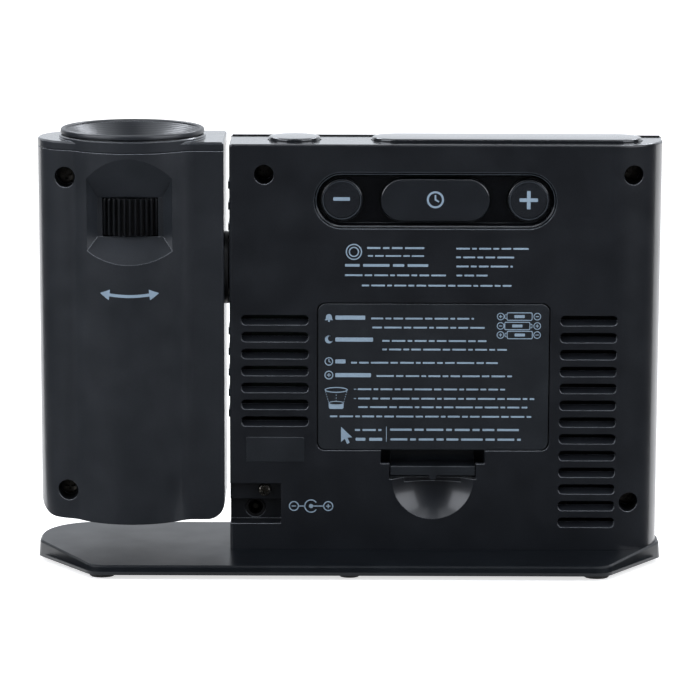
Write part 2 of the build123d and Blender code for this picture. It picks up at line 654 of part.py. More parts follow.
# front bezel: rim and plate, a lip that centres it in the cover, and the screw posts
lip_plan = housing_plan(WALL + FIT)
lip_inside = housing_plan(WALL + FIT + BEZEL_LIP_WALL)
with BuildPart() as lip_room:
    with BuildSketch(Plane.XY.offset(WALL + FIT + BEZEL_LIP_WALL)):
        add(lip_inside)
    extrude(amount=HOUSING_HEIGHT)
    split(bisect_by=FRONT.offset(-BEZEL_PLATE), keep=Keep.BOTTOM)

with BuildPart() as bezel_lip:
    with BuildSketch(Plane.XY.offset(WALL + FIT)):
        add(lip_plan)
    extrude(amount=HOUSING_HEIGHT - 2 * (WALL + FIT))
    split(bisect_by=FRONT.offset(-BEZEL_LIP), keep=Keep.TOP)
    split(bisect_by=RIM, keep=Keep.BOTTOM)
    add(lip_room.part, mode=Mode.SUBTRACT)
    # the lip stops short of the pivot and leaves the top buttons room to go down
    with Locations((HOUSING_SIDE_X, PIVOT_Y, PIVOT_Z)):
        Box(4 * WALL, 2 * (BEZEL_LIP + PIVOT_RADIUS), 2 * COLLAR_RADIUS, mode=Mode.SUBTRACT)
    with BuildSketch(Plane.XY.offset(HOUSING_HEIGHT)):
        add(top_key_plan(SLIP, KEY_FLANGE_LIP))
    extrude(amount=-WALL - FIT - KEY_FLANGE - TRAVEL - SLIP, mode=Mode.SUBTRACT)

with BuildPart() as bezel_posts:
    with BuildSketch(deep(WELL_DEPTH + WELL_FLOOR + FIT)):
        with Locations(*WELLS):
            Circle(POST_RADIUS)
    extrude(amount=HOUSING_FOOT_DEPTH)
    with BuildSketch(deep(INLET_DEPTH + TUBE_WALL + FIT)):
        with Locations(INLET_SCREW):
            Circle(INLET_POST_RADIUS)
    extrude(amount=HOUSING_FOOT_DEPTH)
    split(bisect_by=RIM, keep=Keep.BOTTOM)

with BuildPart() as front_bezel:
    with BuildSketch():
        add(outer_plan)
    extrude(amount=HOUSING_HEIGHT)
    split(bisect_by=FRONT, keep=Keep.BOTTOM)
    split(bisect_by=RIM, keep=Keep.TOP)
    fillet(front_bezel.faces().sort_by(Axis(FRONT.origin, FRONT.z_dir))[-1].edges(), BEZEL_EDGE_RADIUS)
    add([bezel_lip.part, bezel_posts.part])
    with BuildSketch(deep(0)):
        with Locations(*WELLS):
            Circle(SCREW_RADIUS + FIT / 2)
    extrude(amount=WELL_DEPTH + SCREW_LENGTH + SLIP, mode=Mode.SUBTRACT)
    with BuildSketch(deep(0)):
        with Locations(INLET_SCREW):
            Circle(SCREW_RADIUS + FIT / 2)
    extrude(amount=INLET_SHELF_DEPTH + SCREW_LENGTH + SLIP, mode=Mode.SUBTRACT)
    # seat of the glossy window and the opening of the display behind it
    with BuildSketch(FRONT):
        with Locations((HOUSING_MIDDLE_X, FACE_HEIGHT / 2)):
            RectangleRounded(HOUSING_LENGTH - 2 * DISPLAY_INSET, FACE_HEIGHT - 2 * DISPLAY_INSET, DISPLAY_RADIUS)
    extrude(amount=-DISPLAY_THICKNESS, mode=Mode.SUBTRACT)
    with BuildSketch(FRONT):
        with Locations((VIEW_X, VIEW_HEIGHT_UP)):
            Rectangle(*VIEW_SIZE)
    extrude(amount=-BEZEL_PLATE - PAST, mode=Mode.SUBTRACT)
save(front_bezel, "front_bezel")

with BuildPart() as display_window:
    with BuildSketch(FRONT):
        with Locations((HOUSING_MIDDLE_X, FACE_HEIGHT / 2)):
            RectangleRounded(HOUSING_LENGTH - 2 * (DISPLAY_INSET + FIT),
                             FACE_HEIGHT - 2 * (DISPLAY_INSET + FIT), DISPLAY_RADIUS - FIT)
    extrude(amount=-DISPLAY_THICKNESS)
save(display_window, "display_window")

with BuildPart() as lcd_panel:
    with BuildSketch(FRONT.offset(-BEZEL_PLATE)):
        with Locations((VIEW_X, VIEW_HEIGHT_UP)):
            Rectangle(*PANEL_SIZE)
    extrude(amount=-PANEL_THICKNESS)
save(lcd_panel, "lcd_panel")

with BuildPart() as light_guide:
    with BuildSketch(FRONT.offset(-BEZEL_PLATE - PANEL_THICKNESS)):
        with Locations((VIEW_X, VIEW_HEIGHT_UP)):
            Rectangle(*PANEL_SIZE)
    extrude(amount=-GUIDE_THICKNESS)
save(light_guide, "light_guide")

save(screws(WELLS, WELL_DEPTH, SCREW_HEAD_RADIUS), "housing_screws")
save(screws([INLET_SCREW], INLET_SHELF_DEPTH, INLET_HEAD_RADIUS), "inlet_screw")

# ------------------------------------------------------------------ buttons and their boards
# glossy surround of the rear keys: a tray whose flange lies behind the cover, with a tapered
# recess, the key holes in its floor and the two posts that carry the key board
with BuildPart() as key_surround:
    with BuildSketch(deep(0)):
        with Locations((KEYS_X, KEYS_Z)):
            SlotOverall(KEYS_LENGTH - 2 * FIT, KEYS_HEIGHT - 2 * FIT)
    extrude(amount=KEYS_DEPTH + KEY_FLOOR)
    with BuildSketch(deep(WALL)):
        with Locations((KEYS_X, KEYS_Z)):
            SlotOverall(KEYS_LENGTH + 2 * KEYS_FLANGE, KEYS_HEIGHT + 2 * KEYS_FLANGE)
    extrude(amount=KEYS_DEPTH + KEY_FLOOR - WALL)
    with BuildSketch(deep(KEYS_DEPTH)):
        with Locations(*KEY_POSTS):
            Circle(KEY_POST_RADIUS)
    extrude(amount=KEY_BOARD_DEPTH - KEYS_DEPTH)
    with BuildSketch(deep(0)):
        with Locations((KEYS_X, KEYS_Z)):
            SlotOverall(KEYS_LENGTH - 2 * KEYS_BAND, KEYS_HEIGHT - 2 * KEYS_BAND)
    extrude(amount=KEYS_DEPTH, taper=KEYS_TAPER, mode=Mode.SUBTRACT)
    band = key_surround.faces().sort_by(Axis.Y)[-1]
    chamfer(band.inner_wires()[0].edges(), KEYS_BAND_EDGE)
    with BuildSketch(deep(0)):
        with Locations(*[(x, KEYS_Z) for x in ROUND_KEYS.values()]):
            Circle(ROUND_KEY_RADIUS + SLIP)
        with Locations((KEYS_X, KEYS_Z)):
            SlotOverall(SET_KEY_LENGTH + 2 * SLIP, SET_KEY_HEIGHT + 2 * SLIP)
    extrude(amount=KEYS_DEPTH + KEY_FLOOR + FIT, mode=Mode.SUBTRACT)
save(key_surround, "key_surround")

for name, x in ROUND_KEYS.items():
    save(round_key(x), name)

rear_keys = Plane(origin=(KEYS_X, 0, KEYS_Z), x_dir=(-1, 0, 0), z_dir=(0, 1, 0))
set_button = long_key(SET_KEY_LENGTH, SET_KEY_HEIGHT, -KEY_PROUD, -KEY_SEAT, SET_KEY_HEIGHT, rear_keys)
save(set_button, "set_button")

snooze_keys = Plane(origin=(SNOOZE_X, TOP_KEY_Y, 0))
snooze_bar = long_key(SNOOZE_LENGTH, TOP_KEY_WIDTH, HOUSING_HEIGHT + TOP_KEY_PROUD, TOP_SEAT_Z,
                      TOP_KEY_WIDTH - 2 * TRAVEL, snooze_keys)
save(snooze_bar, "snooze_bar")

with BuildPart() as alarm_button:
    with Locations((ALARM_KEY_X, TOP_KEY_Y, TOP_SEAT_Z)):
        Cylinder(TOP_KEY_WIDTH / 2, HOUSING_HEIGHT + TOP_KEY_PROUD - TOP_SEAT_Z,
                 align=(Align.CENTER, Align.CENTER, Align.MIN))
    chamfer(alarm_button.edges().group_by(Axis.Z)[-1], KEY_EDGE)
    with BuildSketch(Plane.XY.offset(TOP_SEAT_Z)):
        with Locations((ALARM_KEY_X, TOP_KEY_Y)):
            SlotOverall(TOP_KEY_WIDTH + 2 * KEY_FLANGE_LIP, TOP_KEY_WIDTH - 2 * TRAVEL)
    extrude(amount=-KEY_FLANGE)
save(alarm_button, "alarm_button")

with BuildPart() as key_board:
    with BuildSketch(deep(KEY_BOARD_DEPTH)):
        with Locations((KEYS_X, KEYS_Z)):
            Rectangle(*KEY_BOARD_SIZE)
    extrude(amount=BOARD)
save(key_board, "key_board")

rear_board = Plane(origin=(KEYS_X, -KEY_BOARD_DEPTH, KEYS_Z), x_dir=(-1, 0, 0), z_dir=(0, 1, 0))
save(tact_switches(rear_board, [(-ROUND_KEY_OFFSET, 0), (0, 0), (ROUND_KEY_OFFSET, 0)]), "key_switches")

with BuildPart() as top_board:
    with BuildSketch(Plane.XY.offset(TOP_BOARD_Z)):
        with Locations(((TOP_BOARD_START_X + TOP_BOARD_END_X) / 2, TOP_KEY_Y)):
            Rectangle(TOP_BOARD_START_X - TOP_BOARD_END_X, TOP_BOARD_WIDTH)
    extrude(amount=-BOARD)
save(top_board, "top_board")
save(tact_switches(Plane.XY.offset(TOP_BOARD_Z), [(ALARM_KEY_X, TOP_KEY_Y), (SNOOZE_X, TOP_KEY_Y)]),
     "top_switches")

with BuildPart() as main_board:
    with BuildSketch(deep(MAIN_BOARD_DEPTH)):
        with Locations((MAIN_BOARD_X[0], MAIN_BOARD_Z[0])):
            Rectangle(MAIN_BOARD_X[1] - MAIN_BOARD_X[0], MAIN_BOARD_Z[1] - MAIN_BOARD_Z[0],
                      align=(Align.MIN, Align.MIN))
    extrude(amount=BOARD)
save(main_board, "main_board")

with BuildPart() as buzzer:
    with BuildSketch(deep(WALL)):
        with Locations((BUZZER_X, BUZZER_Z)):
            Circle(BUZZER_RADIUS)
    extrude(amount=BUZZER_HEIGHT)
    with BuildSketch(deep(WALL + BUZZER_HEIGHT)):
        with Locations((BUZZER_X, BUZZER_Z)):
            Circle(BUZZER_HOLE_RADIUS)
    extrude(amount=-BUZZER_HOLE_DEPTH, mode=Mode.SUBTRACT)
save(buzzer, "buzzer")

# aerial for the radio time signal: a ferrite rod on the floor, wound in the middle
rod_z = WALL + FIT + COIL_RADIUS
with BuildPart() as antenna_rod:
    with BuildSketch(Plane.YZ.offset(ROD_END_X)):
        with Locations((ROD_Y, rod_z)):
            Circle(ROD_RADIUS)
    extrude(amount=ROD_START_X - ROD_END_X)
save(antenna_rod, "antenna_rod")

with BuildPart() as antenna_coil:
    with BuildSketch(Plane.YZ.offset((ROD_START_X + ROD_END_X - COIL_LENGTH) / 2)):
        with Locations((ROD_Y, rod_z)):
            Circle(COIL_RADIUS)
            Circle(ROD_RADIUS + COIL_GAP, mode=Mode.SUBTRACT)
    extrude(amount=COIL_LENGTH)
save(antenna_coil, "antenna_coil")

# ------------------------------------------------------------------ battery bay
with BuildPart() as battery_tray:
    with BuildSketch(deep(WALL)):
        with Locations((BAY_X, BAY_Z)):
            Rectangle(DOOR_LENGTH + 2 * BAY_RIM, DOOR_HEIGHT + 2 * BAY_RIM)
    extrude(amount=BAY_RIM_THICKNESS)
    with BuildSketch(deep(WALL)):
        with Locations((BAY_X, BAY_Z)):
            Rectangle(BAY_LENGTH + 2 * BAY_WALL, 2 * (BAY_HALF + BAY_WALL))
    extrude(amount=BAY_DEPTH - WALL + BAY_WALL)
    # pocket of the latch, below the bay
    with BuildSketch(deep(WALL)):
        with Locations((BAY_X, POCKET_BOTTOM_Z - TUBE_WALL)):
            Rectangle(SLOT_WIDTH + 2 * TUBE_WALL, LEG_TOP_Z + SLIP - POCKET_BOTTOM_Z + TUBE_WALL,
                      align=(Align.CENTER, Align.MIN))
    extrude(amount=POCKET_DEPTH - WALL + BAY_WALL)
    with BuildSketch(deep(WALL - PAST)):
        with Locations((BAY_X, BAY_Z)):
            Rectangle(BAY_LENGTH, 2 * BAY_HALF)
    extrude(amount=BAY_DEPTH - WALL + PAST, mode=Mode.SUBTRACT)
    with BuildSketch(deep(WALL - PAST)):
        with Locations((BAY_X, POCKET_BOTTOM_Z)):
            Rectangle(SLOT_WIDTH, LEG_TOP_Z + SLIP - POCKET_BOTTOM_Z, align=(Align.CENTER, Align.MIN))
    extrude(amount=POCKET_DEPTH - WALL + PAST, mode=Mode.SUBTRACT)
    add(scoop_cut, mode=Mode.SUBTRACT)
    # notches that the tongues of the door turn in
    with Locations(*[(BAY_X + side * TONGUE_X, -WALL, DOOR_TOP_Z) for side in (-1, 1)]):
        Box(TONGUE_WIDTH + 2 * SLIP, 2 * (BAY_RIM_THICKNESS + SLIP), 2 * (TONGUE_LENGTH + BAY_RIM),
            mode=Mode.SUBTRACT)
save(battery_tray, "battery_tray")

CELL_ENDS = [(1, -1), (0, 1), (-1, -1)]           # row of each cell and the end of its spring
with BuildPart() as battery_contacts:
    for row, _ in CELL_ENDS:
        with Locations(*[(BAY_X + side * (BAY_LENGTH - CONTACT_THICKNESS) / 2, CELL_Y,
                          BAY_Z + row * CELL_PITCH) for side in (-1, 1)]):
            Box(CONTACT_THICKNESS, CONTACT_SIDE, CONTACT_SIDE)
save(battery_contacts, "battery_contacts")

with BuildPart() as battery_springs:
    for row, side in CELL_ENDS:
        seat_x = BAY_X + side * (BAY_LENGTH / 2 - CONTACT_THICKNESS - SPRING_WIRE)
        with BuildLine() as coil:
            Helix(pitch=SPRING_LENGTH / SPRING_TURNS, height=SPRING_LENGTH, radius=SPRING_RADIUS,
                  center=(seat_x, CELL_Y, BAY_Z + row * CELL_PITCH), direction=(-side, 0, 0))
        with BuildSketch(Plane(origin=coil.line @ 0, z_dir=coil.line % 0)):
            Rectangle(2 * SPRING_WIRE, 2 * SPRING_WIRE)
        sweep(path=coil.line)
save(battery_springs, "battery_springs")

# door: plate, two tongues at its top edge, and the U-shaped leaf that latches it below
with BuildPart() as battery_door:
    with BuildSketch(deep(0)):
        with Locations((BAY_X, BAY_Z)):
            RectangleRounded(DOOR_LENGTH, DOOR_HEIGHT, DOOR_RADIUS)
    extrude(amount=DOOR_THICKNESS)
    with BuildSketch(Plane.YZ.offset(BAY_X)):
        with BuildLine():
            Polyline((-DOOR_THICKNESS, DOOR_TOP_Z - BAY_RIM), (-WALL - FIT, DOOR_TOP_Z - BAY_RIM / 2),
                     (-WALL - FIT, DOOR_TOP_Z + TONGUE_LENGTH),
                     (-WALL - FIT - TONGUE_THICKNESS, DOOR_TOP_Z + TONGUE_LENGTH),
                     (-WALL - FIT - TONGUE_THICKNESS, DOOR_TOP_Z - BAY_RIM),
                     (-DOOR_THICKNESS, DOOR_TOP_Z - 2 * BAY_RIM), close=True)
        make_face()
    tongue = extrude(amount=TONGUE_WIDTH / 2, both=True, mode=Mode.PRIVATE)
    with Locations((TONGUE_X, 0, 0), (-TONGUE_X, 0, 0)):
        add(tongue)
    with BuildSketch(Plane.YZ.offset(BAY_X)):
        with BuildLine():
            Polyline((-DOOR_THICKNESS, LEG_TOP_Z), (-LEAF_REACH, LEG_TOP_Z))
            ThreePointArc((-LEAF_REACH, LEG_TOP_Z), (-LEAF_REACH - BEND_RADIUS, BEND_Z),
                          (-LEAF_REACH, LEG_TOP_Z - 2 * BEND_RADIUS))
            Polyline((-LEAF_REACH, LEG_TOP_Z - 2 * BEND_RADIUS), (-WALL, LEG_TOP_Z - 2 * BEND_RADIUS),
                     (-WALL, TAB_BOTTOM_Z), (-WALL, TAB_BOTTOM_Z - TAB_HOOK), (-LATCH_GAP, TAB_BOTTOM_Z),
                     (-LATCH_GAP, TAB_TOP_Z), (-LEAF_REACH, TAB_TOP_Z))
            ThreePointArc((-LEAF_REACH, TAB_TOP_Z), (-LEAF_REACH - BEND_RADIUS + LEAF, BEND_Z),
                          (-LEAF_REACH, DOOR_BOTTOM_Z))
            Polyline((-LEAF_REACH, DOOR_BOTTOM_Z), (-DOOR_THICKNESS, DOOR_BOTTOM_Z),
                     (-DOOR_THICKNESS, LEG_TOP_Z))
        make_face()
    extrude(amount=LATCH_WIDTH / 2, both=True)
    with BuildSketch(deep(LATCH_GAP)):
        with Locations((BAY_X, TAB_BOTTOM_Z)):
            Circle(TAB_NUB)
    extrude(amount=WALL - LATCH_GAP)
save(battery_door, "battery_door")

# ------------------------------------------------------------------ power inlet
with BuildPart() as power_jack:
    with BuildSketch(deep(INLET_DEPTH + TUBE_WALL)):
        with Locations((JACK_X, JACK_Z)):
            Rectangle(*JACK_BODY)
    extrude(amount=JACK_LENGTH)
    with BuildSketch(deep(INLET_DEPTH)):
        with Locations((JACK_X, JACK_Z)):
            Circle(JACK_NOSE_RADIUS)
    extrude(amount=TUBE_WALL)
    with BuildSketch(deep(INLET_DEPTH)):
        with Locations((JACK_X, JACK_Z)):
            Circle(JACK_BORE_RADIUS)
    extrude(amount=JACK_BORE_DEPTH, mode=Mode.SUBTRACT)
save(power_jack, "power_jack")

with BuildPart() as jack_pin:
    with BuildSketch(deep(INLET_DEPTH + TUBE_WALL)):
        with Locations((JACK_X, JACK_Z)):
            Circle(JACK_PIN_RADIUS)
    extrude(amount=JACK_BORE_DEPTH - TUBE_WALL)
save(jack_pin, "jack_pin")


# ------------------------------------------------------------------ projector tower
def tower_plan(inset):
    """Plan of the tower drawn in by inset: square beside the housing, a half round at the
    far end, and a round bulge in the middle that houses the wheel."""
    with BuildSketch() as plan:
        with Locations((TOWER_SIDE_X, AXIS_Y)):
            Rectangle(TOWER_END_X - TOWER_DEPTH / 2 - TOWER_SIDE_X, TOWER_DEPTH,
                      align=(Align.MIN, Align.CENTER))
        fillet(plan.vertices().group_by(Axis.X)[0], SIDE_EDGE_RADIUS)
        with Locations((TOWER_END_X - TOWER_DEPTH / 2, AXIS_Y)):
            Circle(TOWER_DEPTH / 2)
        with Locations((BARREL_X, AXIS_Y)):
            Circle(BULGE_RADIUS)
        fillet(plan.vertices().filter_by(lambda v: abs(v.Y - AXIS_Y) > TOWER_DEPTH / 4
                                         and v.X > TOWER_SIDE_X + 4 * SIDE_EDGE_RADIUS), BULGE_BLEND)
        if inset:
            offset(amount=-inset, kind=Kind.INTERSECTION)
    return plan.sketch


def tower_front(inset):
    """Block with the outline that the tower has from the back, with its lower corners rounded."""
    with BuildPart() as block:
        with BuildSketch(deep(-BULGE_RADIUS)) as outline:
            with Locations((TOWER_SIDE_X + inset, TOWER_BOTTOM_Z + inset)):
                Rectangle(TOWER_END_X - TOWER_SIDE_X - 2 * inset, TOWER_TOP_Z - TOWER_BOTTOM_Z - inset,
                          align=(Align.MIN, Align.MIN))
            fillet(outline.vertices().group_by(Axis.Y)[0], TOWER_CORNER_RADIUS - inset)
        extrude(amount=4 * BULGE_RADIUS)
    return block.part


def wheel_scoop(wall):
    """Hollow with four sloping sides that leads a finger to the wheel, grown by wall."""
    reach = BULGE_RADIUS / 2
    grow_top = wall * (1 + SCOOP_RISE ** 2) ** 0.5
    grow_bottom = wall * (1 + SCOOP_FALL ** 2) ** 0.5
    grow_side = wall * (1 + SCOOP_SPREAD ** 2) ** 0.5
    with BuildPart() as scoop:
        for out in (0, reach):
            with BuildSketch(deep(-WINDOW_Y - out)):
                top = WINDOW_TOP_Z + grow_top + SCOOP_RISE * out
                bottom = WINDOW_BOTTOM_Z - grow_bottom - SCOOP_FALL * out
                with Locations((BARREL_X, (top + bottom) / 2)):
                    Rectangle(WINDOW_WIDTH + 2 * (grow_side + SCOOP_SPREAD * out), top - bottom)
        loft()
        if wall:
            extrude(scoop.faces().sort_by(Axis.Y)[0], amount=wall)
    return scoop.part


tower_outer = tower_plan(0)
tower_inner = tower_plan(TOWER_WALL)
tower_outline = tower_front(0)
tower_room_outline = tower_front(TOWER_WALL)
wheel_scoop_cut = wheel_scoop(0)
wheel_scoop_wall = wheel_scoop(SCOOP_WALL)
BARREL = (BARREL_X, AXIS_Y)

with BuildPart() as tower_room:
    with BuildSketch(Plane.XY.offset(TOWER_BOTTOM_Z)):
        add(tower_inner)
    extrude(amount=TOWER_TOP_Z - TOWER_BOTTOM_Z)
    add(tower_room_outline, mode=Mode.INTERSECT)
    with BuildSketch(deep(-BULGE_RADIUS)):
        with Locations(*TOWER_SCREWS):
            Circle(TOWER_WELL_RADIUS + TUBE_WALL)
    extrude(amount=4 * BULGE_RADIUS, mode=Mode.SUBTRACT)
    add(wheel_scoop_wall, mode=Mode.SUBTRACT)
    # ribs that carry the lens tube, and the ledge that carries the lamp's board
    for z in SADDLES + (LED_BOARD_Z - SADDLE,):
        with BuildSketch(Plane.XY.offset(z)):
            Rectangle(4 * TOWER_DEPTH, 4 * TOWER_DEPTH)
        extrude(amount=SADDLE, mode=Mode.SUBTRACT)

with BuildPart() as tower_shells:
    with BuildSketch(Plane.XY.offset(TOWER_BOTTOM_Z)):
        add(tower_outer)
    extrude(amount=TOWER_TOP_Z - TOWER_BOTTOM_Z)
    add(tower_outline, mode=Mode.INTERSECT)
    add(tower_room.part, mode=Mode.SUBTRACT)
    add(wheel_scoop_cut, mode=Mode.SUBTRACT)
    # the lens tube and the wheel turn in here; the ledge is open in the middle
    with Locations((*BARREL, TUBE_BOTTOM_Z)):
        Cylinder(TUBE_RADIUS + RUN, TOWER_TOP_Z, align=(Align.CENTER, Align.CENTER, Align.MIN),
                 mode=Mode.SUBTRACT)
    with Locations((*BARREL, WINDOW_BOTTOM_Z)):
        Cylinder(WHEEL_RADIUS + SLIP, WINDOW_TOP_Z - WINDOW_BOTTOM_Z,
                 align=(Align.CENTER, Align.CENTER, Align.MIN), mode=Mode.SUBTRACT)
    with Locations((*BARREL, LED_BOARD_Z - LEDGE)):
        Cylinder(CONDENSER_RADIUS, LEDGE, align=(Align.CENTER, Align.CENTER, Align.MIN),
                 mode=Mode.SUBTRACT)
    with BuildSketch(Plane.YZ.offset(TOWER_SIDE_X - PAST)):
        with Locations((PIVOT_Y, PIVOT_Z)):
            Circle(PIVOT_NECK_RADIUS + FIT)
    extrude(amount=TOWER_WALL + PAST + SLIP, mode=Mode.SUBTRACT)
    with BuildSketch(Plane.YZ.offset(TOWER_SIDE_X + TOWER_WALL)):
        with Locations((PIVOT_Y, PIVOT_Z)):
            Circle(PIVOT_FLANGE_RADIUS + FIT)
    extrude(amount=PIVOT_FLANGE + SLIP, mode=Mode.SUBTRACT)
    # screw holes through both shells, with wells for the heads in the rear one
    with BuildSketch(deep(-PAST)):
        with Locations(*TOWER_SCREWS):
            Circle(TOWER_WELL_RADIUS)
    extrude(amount=TOWER_WELL_DEPTH + PAST, mode=Mode.SUBTRACT)
    with BuildSketch(deep(0)):
        with Locations(*TOWER_SCREWS):
            Circle(SCREW_RADIUS + FIT / 2)
    extrude(amount=TOWER_WELL_DEPTH + SCREW_LENGTH + SLIP, mode=Mode.SUBTRACT)

for name, side in (("tower_rear_shell", Keep.BOTTOM), ("tower_front_shell", Keep.TOP)):
    with BuildPart() as shell:
        add(tower_shells.part)
        split(bisect_by=deep(TOWER_DEPTH / 2), keep=side)
    save(shell, name)
save(screws(TOWER_SCREWS, TOWER_WELL_DEPTH, SCREW_HEAD_RADIUS), "tower_screws")

cap_lip_outside = tower_plan(TOWER_WALL + FIT)
cap_lip_inside = tower_plan(TOWER_WALL + FIT + CAP_LIP_WALL)
with BuildPart() as tower_cap:
    with BuildSketch(Plane.XY.offset(TOWER_TOP_Z)):
        add(tower_outer)
    extrude(amount=CAP_THICKNESS)
    chamfer(tower_cap.faces().sort_by(Axis.Z)[-1].edges(), CAP_EDGE)
    chamfer(tower_cap.faces().sort_by(Axis.Z)[0].edges(), CAP_GROOVE)
    with BuildSketch(Plane.XY.offset(TOWER_TOP_Z)):
        add(cap_lip_outside)
        add(cap_lip_inside, mode=Mode.SUBTRACT)
    extrude(amount=-CAP_LIP)
    # raised collar round the shroud, flush with the bulge
    with Locations((*BARREL, TOWER_TOP_Z + CAP_GROOVE)):
        Cylinder(BULGE_RADIUS, COLLAR_TOP_Z - TOWER_TOP_Z - CAP_GROOVE,
                 align=(Align.CENTER, Align.CENTER, Align.MIN))
    chamfer(tower_cap.edges().group_by(Axis.Z)[-1], CAP_GROOVE)
    with Locations((*BARREL, TOWER_TOP_Z)):
        Cylinder(SHROUD_SKIRT + FIT, 2 * TUBE_RADIUS, mode=Mode.SUBTRACT)
save(tower_cap, "tower_cap")

# shroud: a funnel stepped in fine rings, whose rim stands on a neck in the cap's collar
with BuildPart() as lens_shroud:
    mouth = SHROUD_RADIUS - SHROUD_RIM
    step_run = (mouth - SHROUD_THROAT) / SHROUD_STEPS
    step_rise = (SHROUD_TOP_Z - SHROUD_RIM_EDGE - SHROUD_BOTTOM_Z) / SHROUD_STEPS
    skirt_bottom_z = COLLAR_TOP_Z - SHROUD_SKIRT_HEIGHT
    with BuildSketch(Plane(origin=(*BARREL, 0), x_dir=(1, 0, 0), z_dir=(0, -1, 0))):
        with BuildLine():
            for n in range(SHROUD_STEPS):
                r = SHROUD_THROAT + n * step_run
                z = SHROUD_BOTTOM_Z + n * step_rise
                Polyline((r, z), (r, z + step_rise), (r + step_run, z + step_rise))
            Polyline((mouth, SHROUD_TOP_Z - SHROUD_RIM_EDGE), (mouth + SHROUD_RIM_EDGE, SHROUD_TOP_Z),
                     (SHROUD_RADIUS - SHROUD_RIM_EDGE, SHROUD_TOP_Z),
                     (SHROUD_RADIUS, SHROUD_TOP_Z - SHROUD_RIM_EDGE), (SHROUD_RADIUS, RIM_BOTTOM_Z),
                     (SHROUD_NECK_RADIUS, RIM_BOTTOM_Z), (SHROUD_NECK_RADIUS, COLLAR_TOP_Z),
                     (SHROUD_SKIRT, COLLAR_TOP_Z), (SHROUD_SKIRT, skirt_bottom_z),
                     (SHROUD_THROAT + SHROUD_WALL, SHROUD_BOTTOM_Z), (SHROUD_THROAT, SHROUD_BOTTOM_Z))
        make_face()
    revolve(axis=Axis((*BARREL, 0), (0, 0, 1)))
save(lens_shroud, "lens_shroud")

# ------------------------------------------------------------------ pivot
with BuildPart() as pivot_hub:
    with BuildSketch(Plane.XZ.offset(-PIVOT_Y)):
        shaft_end = HOUSING_SIDE_X - WALL - WASHER_THICKNESS - COLLAR_FLOAT - RETAINER_THICKNESS
        collar_start = TOWER_SIDE_X - COLLAR_THICKNESS
        flange_start = TOWER_SIDE_X + TOWER_WALL + FIT
        with BuildLine():
            Polyline((shaft_end, PIVOT_Z + PIVOT_BORE), (shaft_end, PIVOT_Z + PIVOT_RADIUS),
                     (collar_start, PIVOT_Z + PIVOT_RADIUS), (collar_start, PIVOT_Z + COLLAR_RADIUS),
                     (TOWER_SIDE_X, PIVOT_Z + COLLAR_RADIUS), (TOWER_SIDE_X, PIVOT_Z + PIVOT_NECK_RADIUS),
                     (flange_start, PIVOT_Z + PIVOT_NECK_RADIUS),
                     (flange_start, PIVOT_Z + PIVOT_FLANGE_RADIUS),
                     (flange_start + PIVOT_FLANGE, PIVOT_Z + PIVOT_FLANGE_RADIUS),
                     (flange_start + PIVOT_FLANGE, PIVOT_Z + PIVOT_BORE), close=True)
        make_face()
    revolve(axis=Axis((0, PIVOT_Y, PIVOT_Z), (1, 0, 0)))
save(pivot_hub, "pivot_hub")

with BuildPart() as pivot_retainer:
    with BuildSketch(Plane.YZ.offset(shaft_end)):
        with Locations((PIVOT_Y, PIVOT_Z)):
            Circle(RETAINER_RADIUS)
            Circle(PIVOT_RADIUS + FIT / 2, mode=Mode.SUBTRACT)
    extrude(amount=RETAINER_THICKNESS)
save(pivot_retainer, "pivot_retainer")

with BuildPart() as friction_washer:
    with BuildSketch(Plane.YZ.offset(HOUSING_SIDE_X - WALL - FIT - WASHER_THICKNESS)):
        with Locations((PIVOT_Y, PIVOT_Z)):
            Circle(RETAINER_RADIUS)
            Circle(PIVOT_RADIUS + RUN, mode=Mode.SUBTRACT)
    extrude(amount=WASHER_THICKNESS)
save(friction_washer, "friction_washer")

# ------------------------------------------------------------------ optics
with BuildPart() as rotation_wheel:
    wheel_bottom = WINDOW_BOTTOM_Z + SLIP
    wheel_height = WINDOW_TOP_Z - WINDOW_BOTTOM_Z - 2 * SLIP
    wheel_core = WHEEL_RADIUS - WHEEL_RIB
    with BuildSketch(Plane(origin=(*BARREL, wheel_bottom))):
        Circle(wheel_core)
        with PolarLocations(wheel_core, WHEEL_RIBS):
            Rectangle(2 * WHEEL_RIB, WHEEL_RIB_WIDTH)
        Circle(TUBE_RADIUS + FIT / 2, mode=Mode.SUBTRACT)
    extrude(amount=wheel_height)
    # lightened from below, so that a rim, a web and a hub are left
    with BuildSketch(Plane(origin=(*BARREL, wheel_bottom))):
        Circle(wheel_core - WHEEL_WALL)
        Circle(TUBE_RADIUS + WHEEL_WALL, mode=Mode.SUBTRACT)
    extrude(amount=wheel_height - WHEEL_WALL, mode=Mode.SUBTRACT)
save(rotation_wheel, "rotation_wheel")

with BuildPart() as lens_tube:
    with BuildSketch(Plane(origin=(*BARREL, TUBE_BOTTOM_Z))):
        Circle(TUBE_RADIUS)
        Circle(TUBE_BORE, mode=Mode.SUBTRACT)
    extrude(amount=TUBE_TOP_Z - TUBE_BOTTOM_Z)
    # shoulder that the image panel rests on, at the foot of the tube
    with BuildSketch(Plane(origin=(*BARREL, TUBE_BOTTOM_Z))):
        Circle(TUBE_BORE)
        Rectangle(IMAGE_WINDOW, IMAGE_WINDOW, mode=Mode.SUBTRACT)
    extrude(amount=SADDLE)
save(lens_tube, "lens_tube")

with BuildPart() as image_panel:
    with Locations((*BARREL, TUBE_BOTTOM_Z + SADDLE)):
        Box(IMAGE_PANEL, IMAGE_PANEL, SADDLE, align=(Align.CENTER, Align.CENTER, Align.MIN))
save(image_panel, "image_panel")

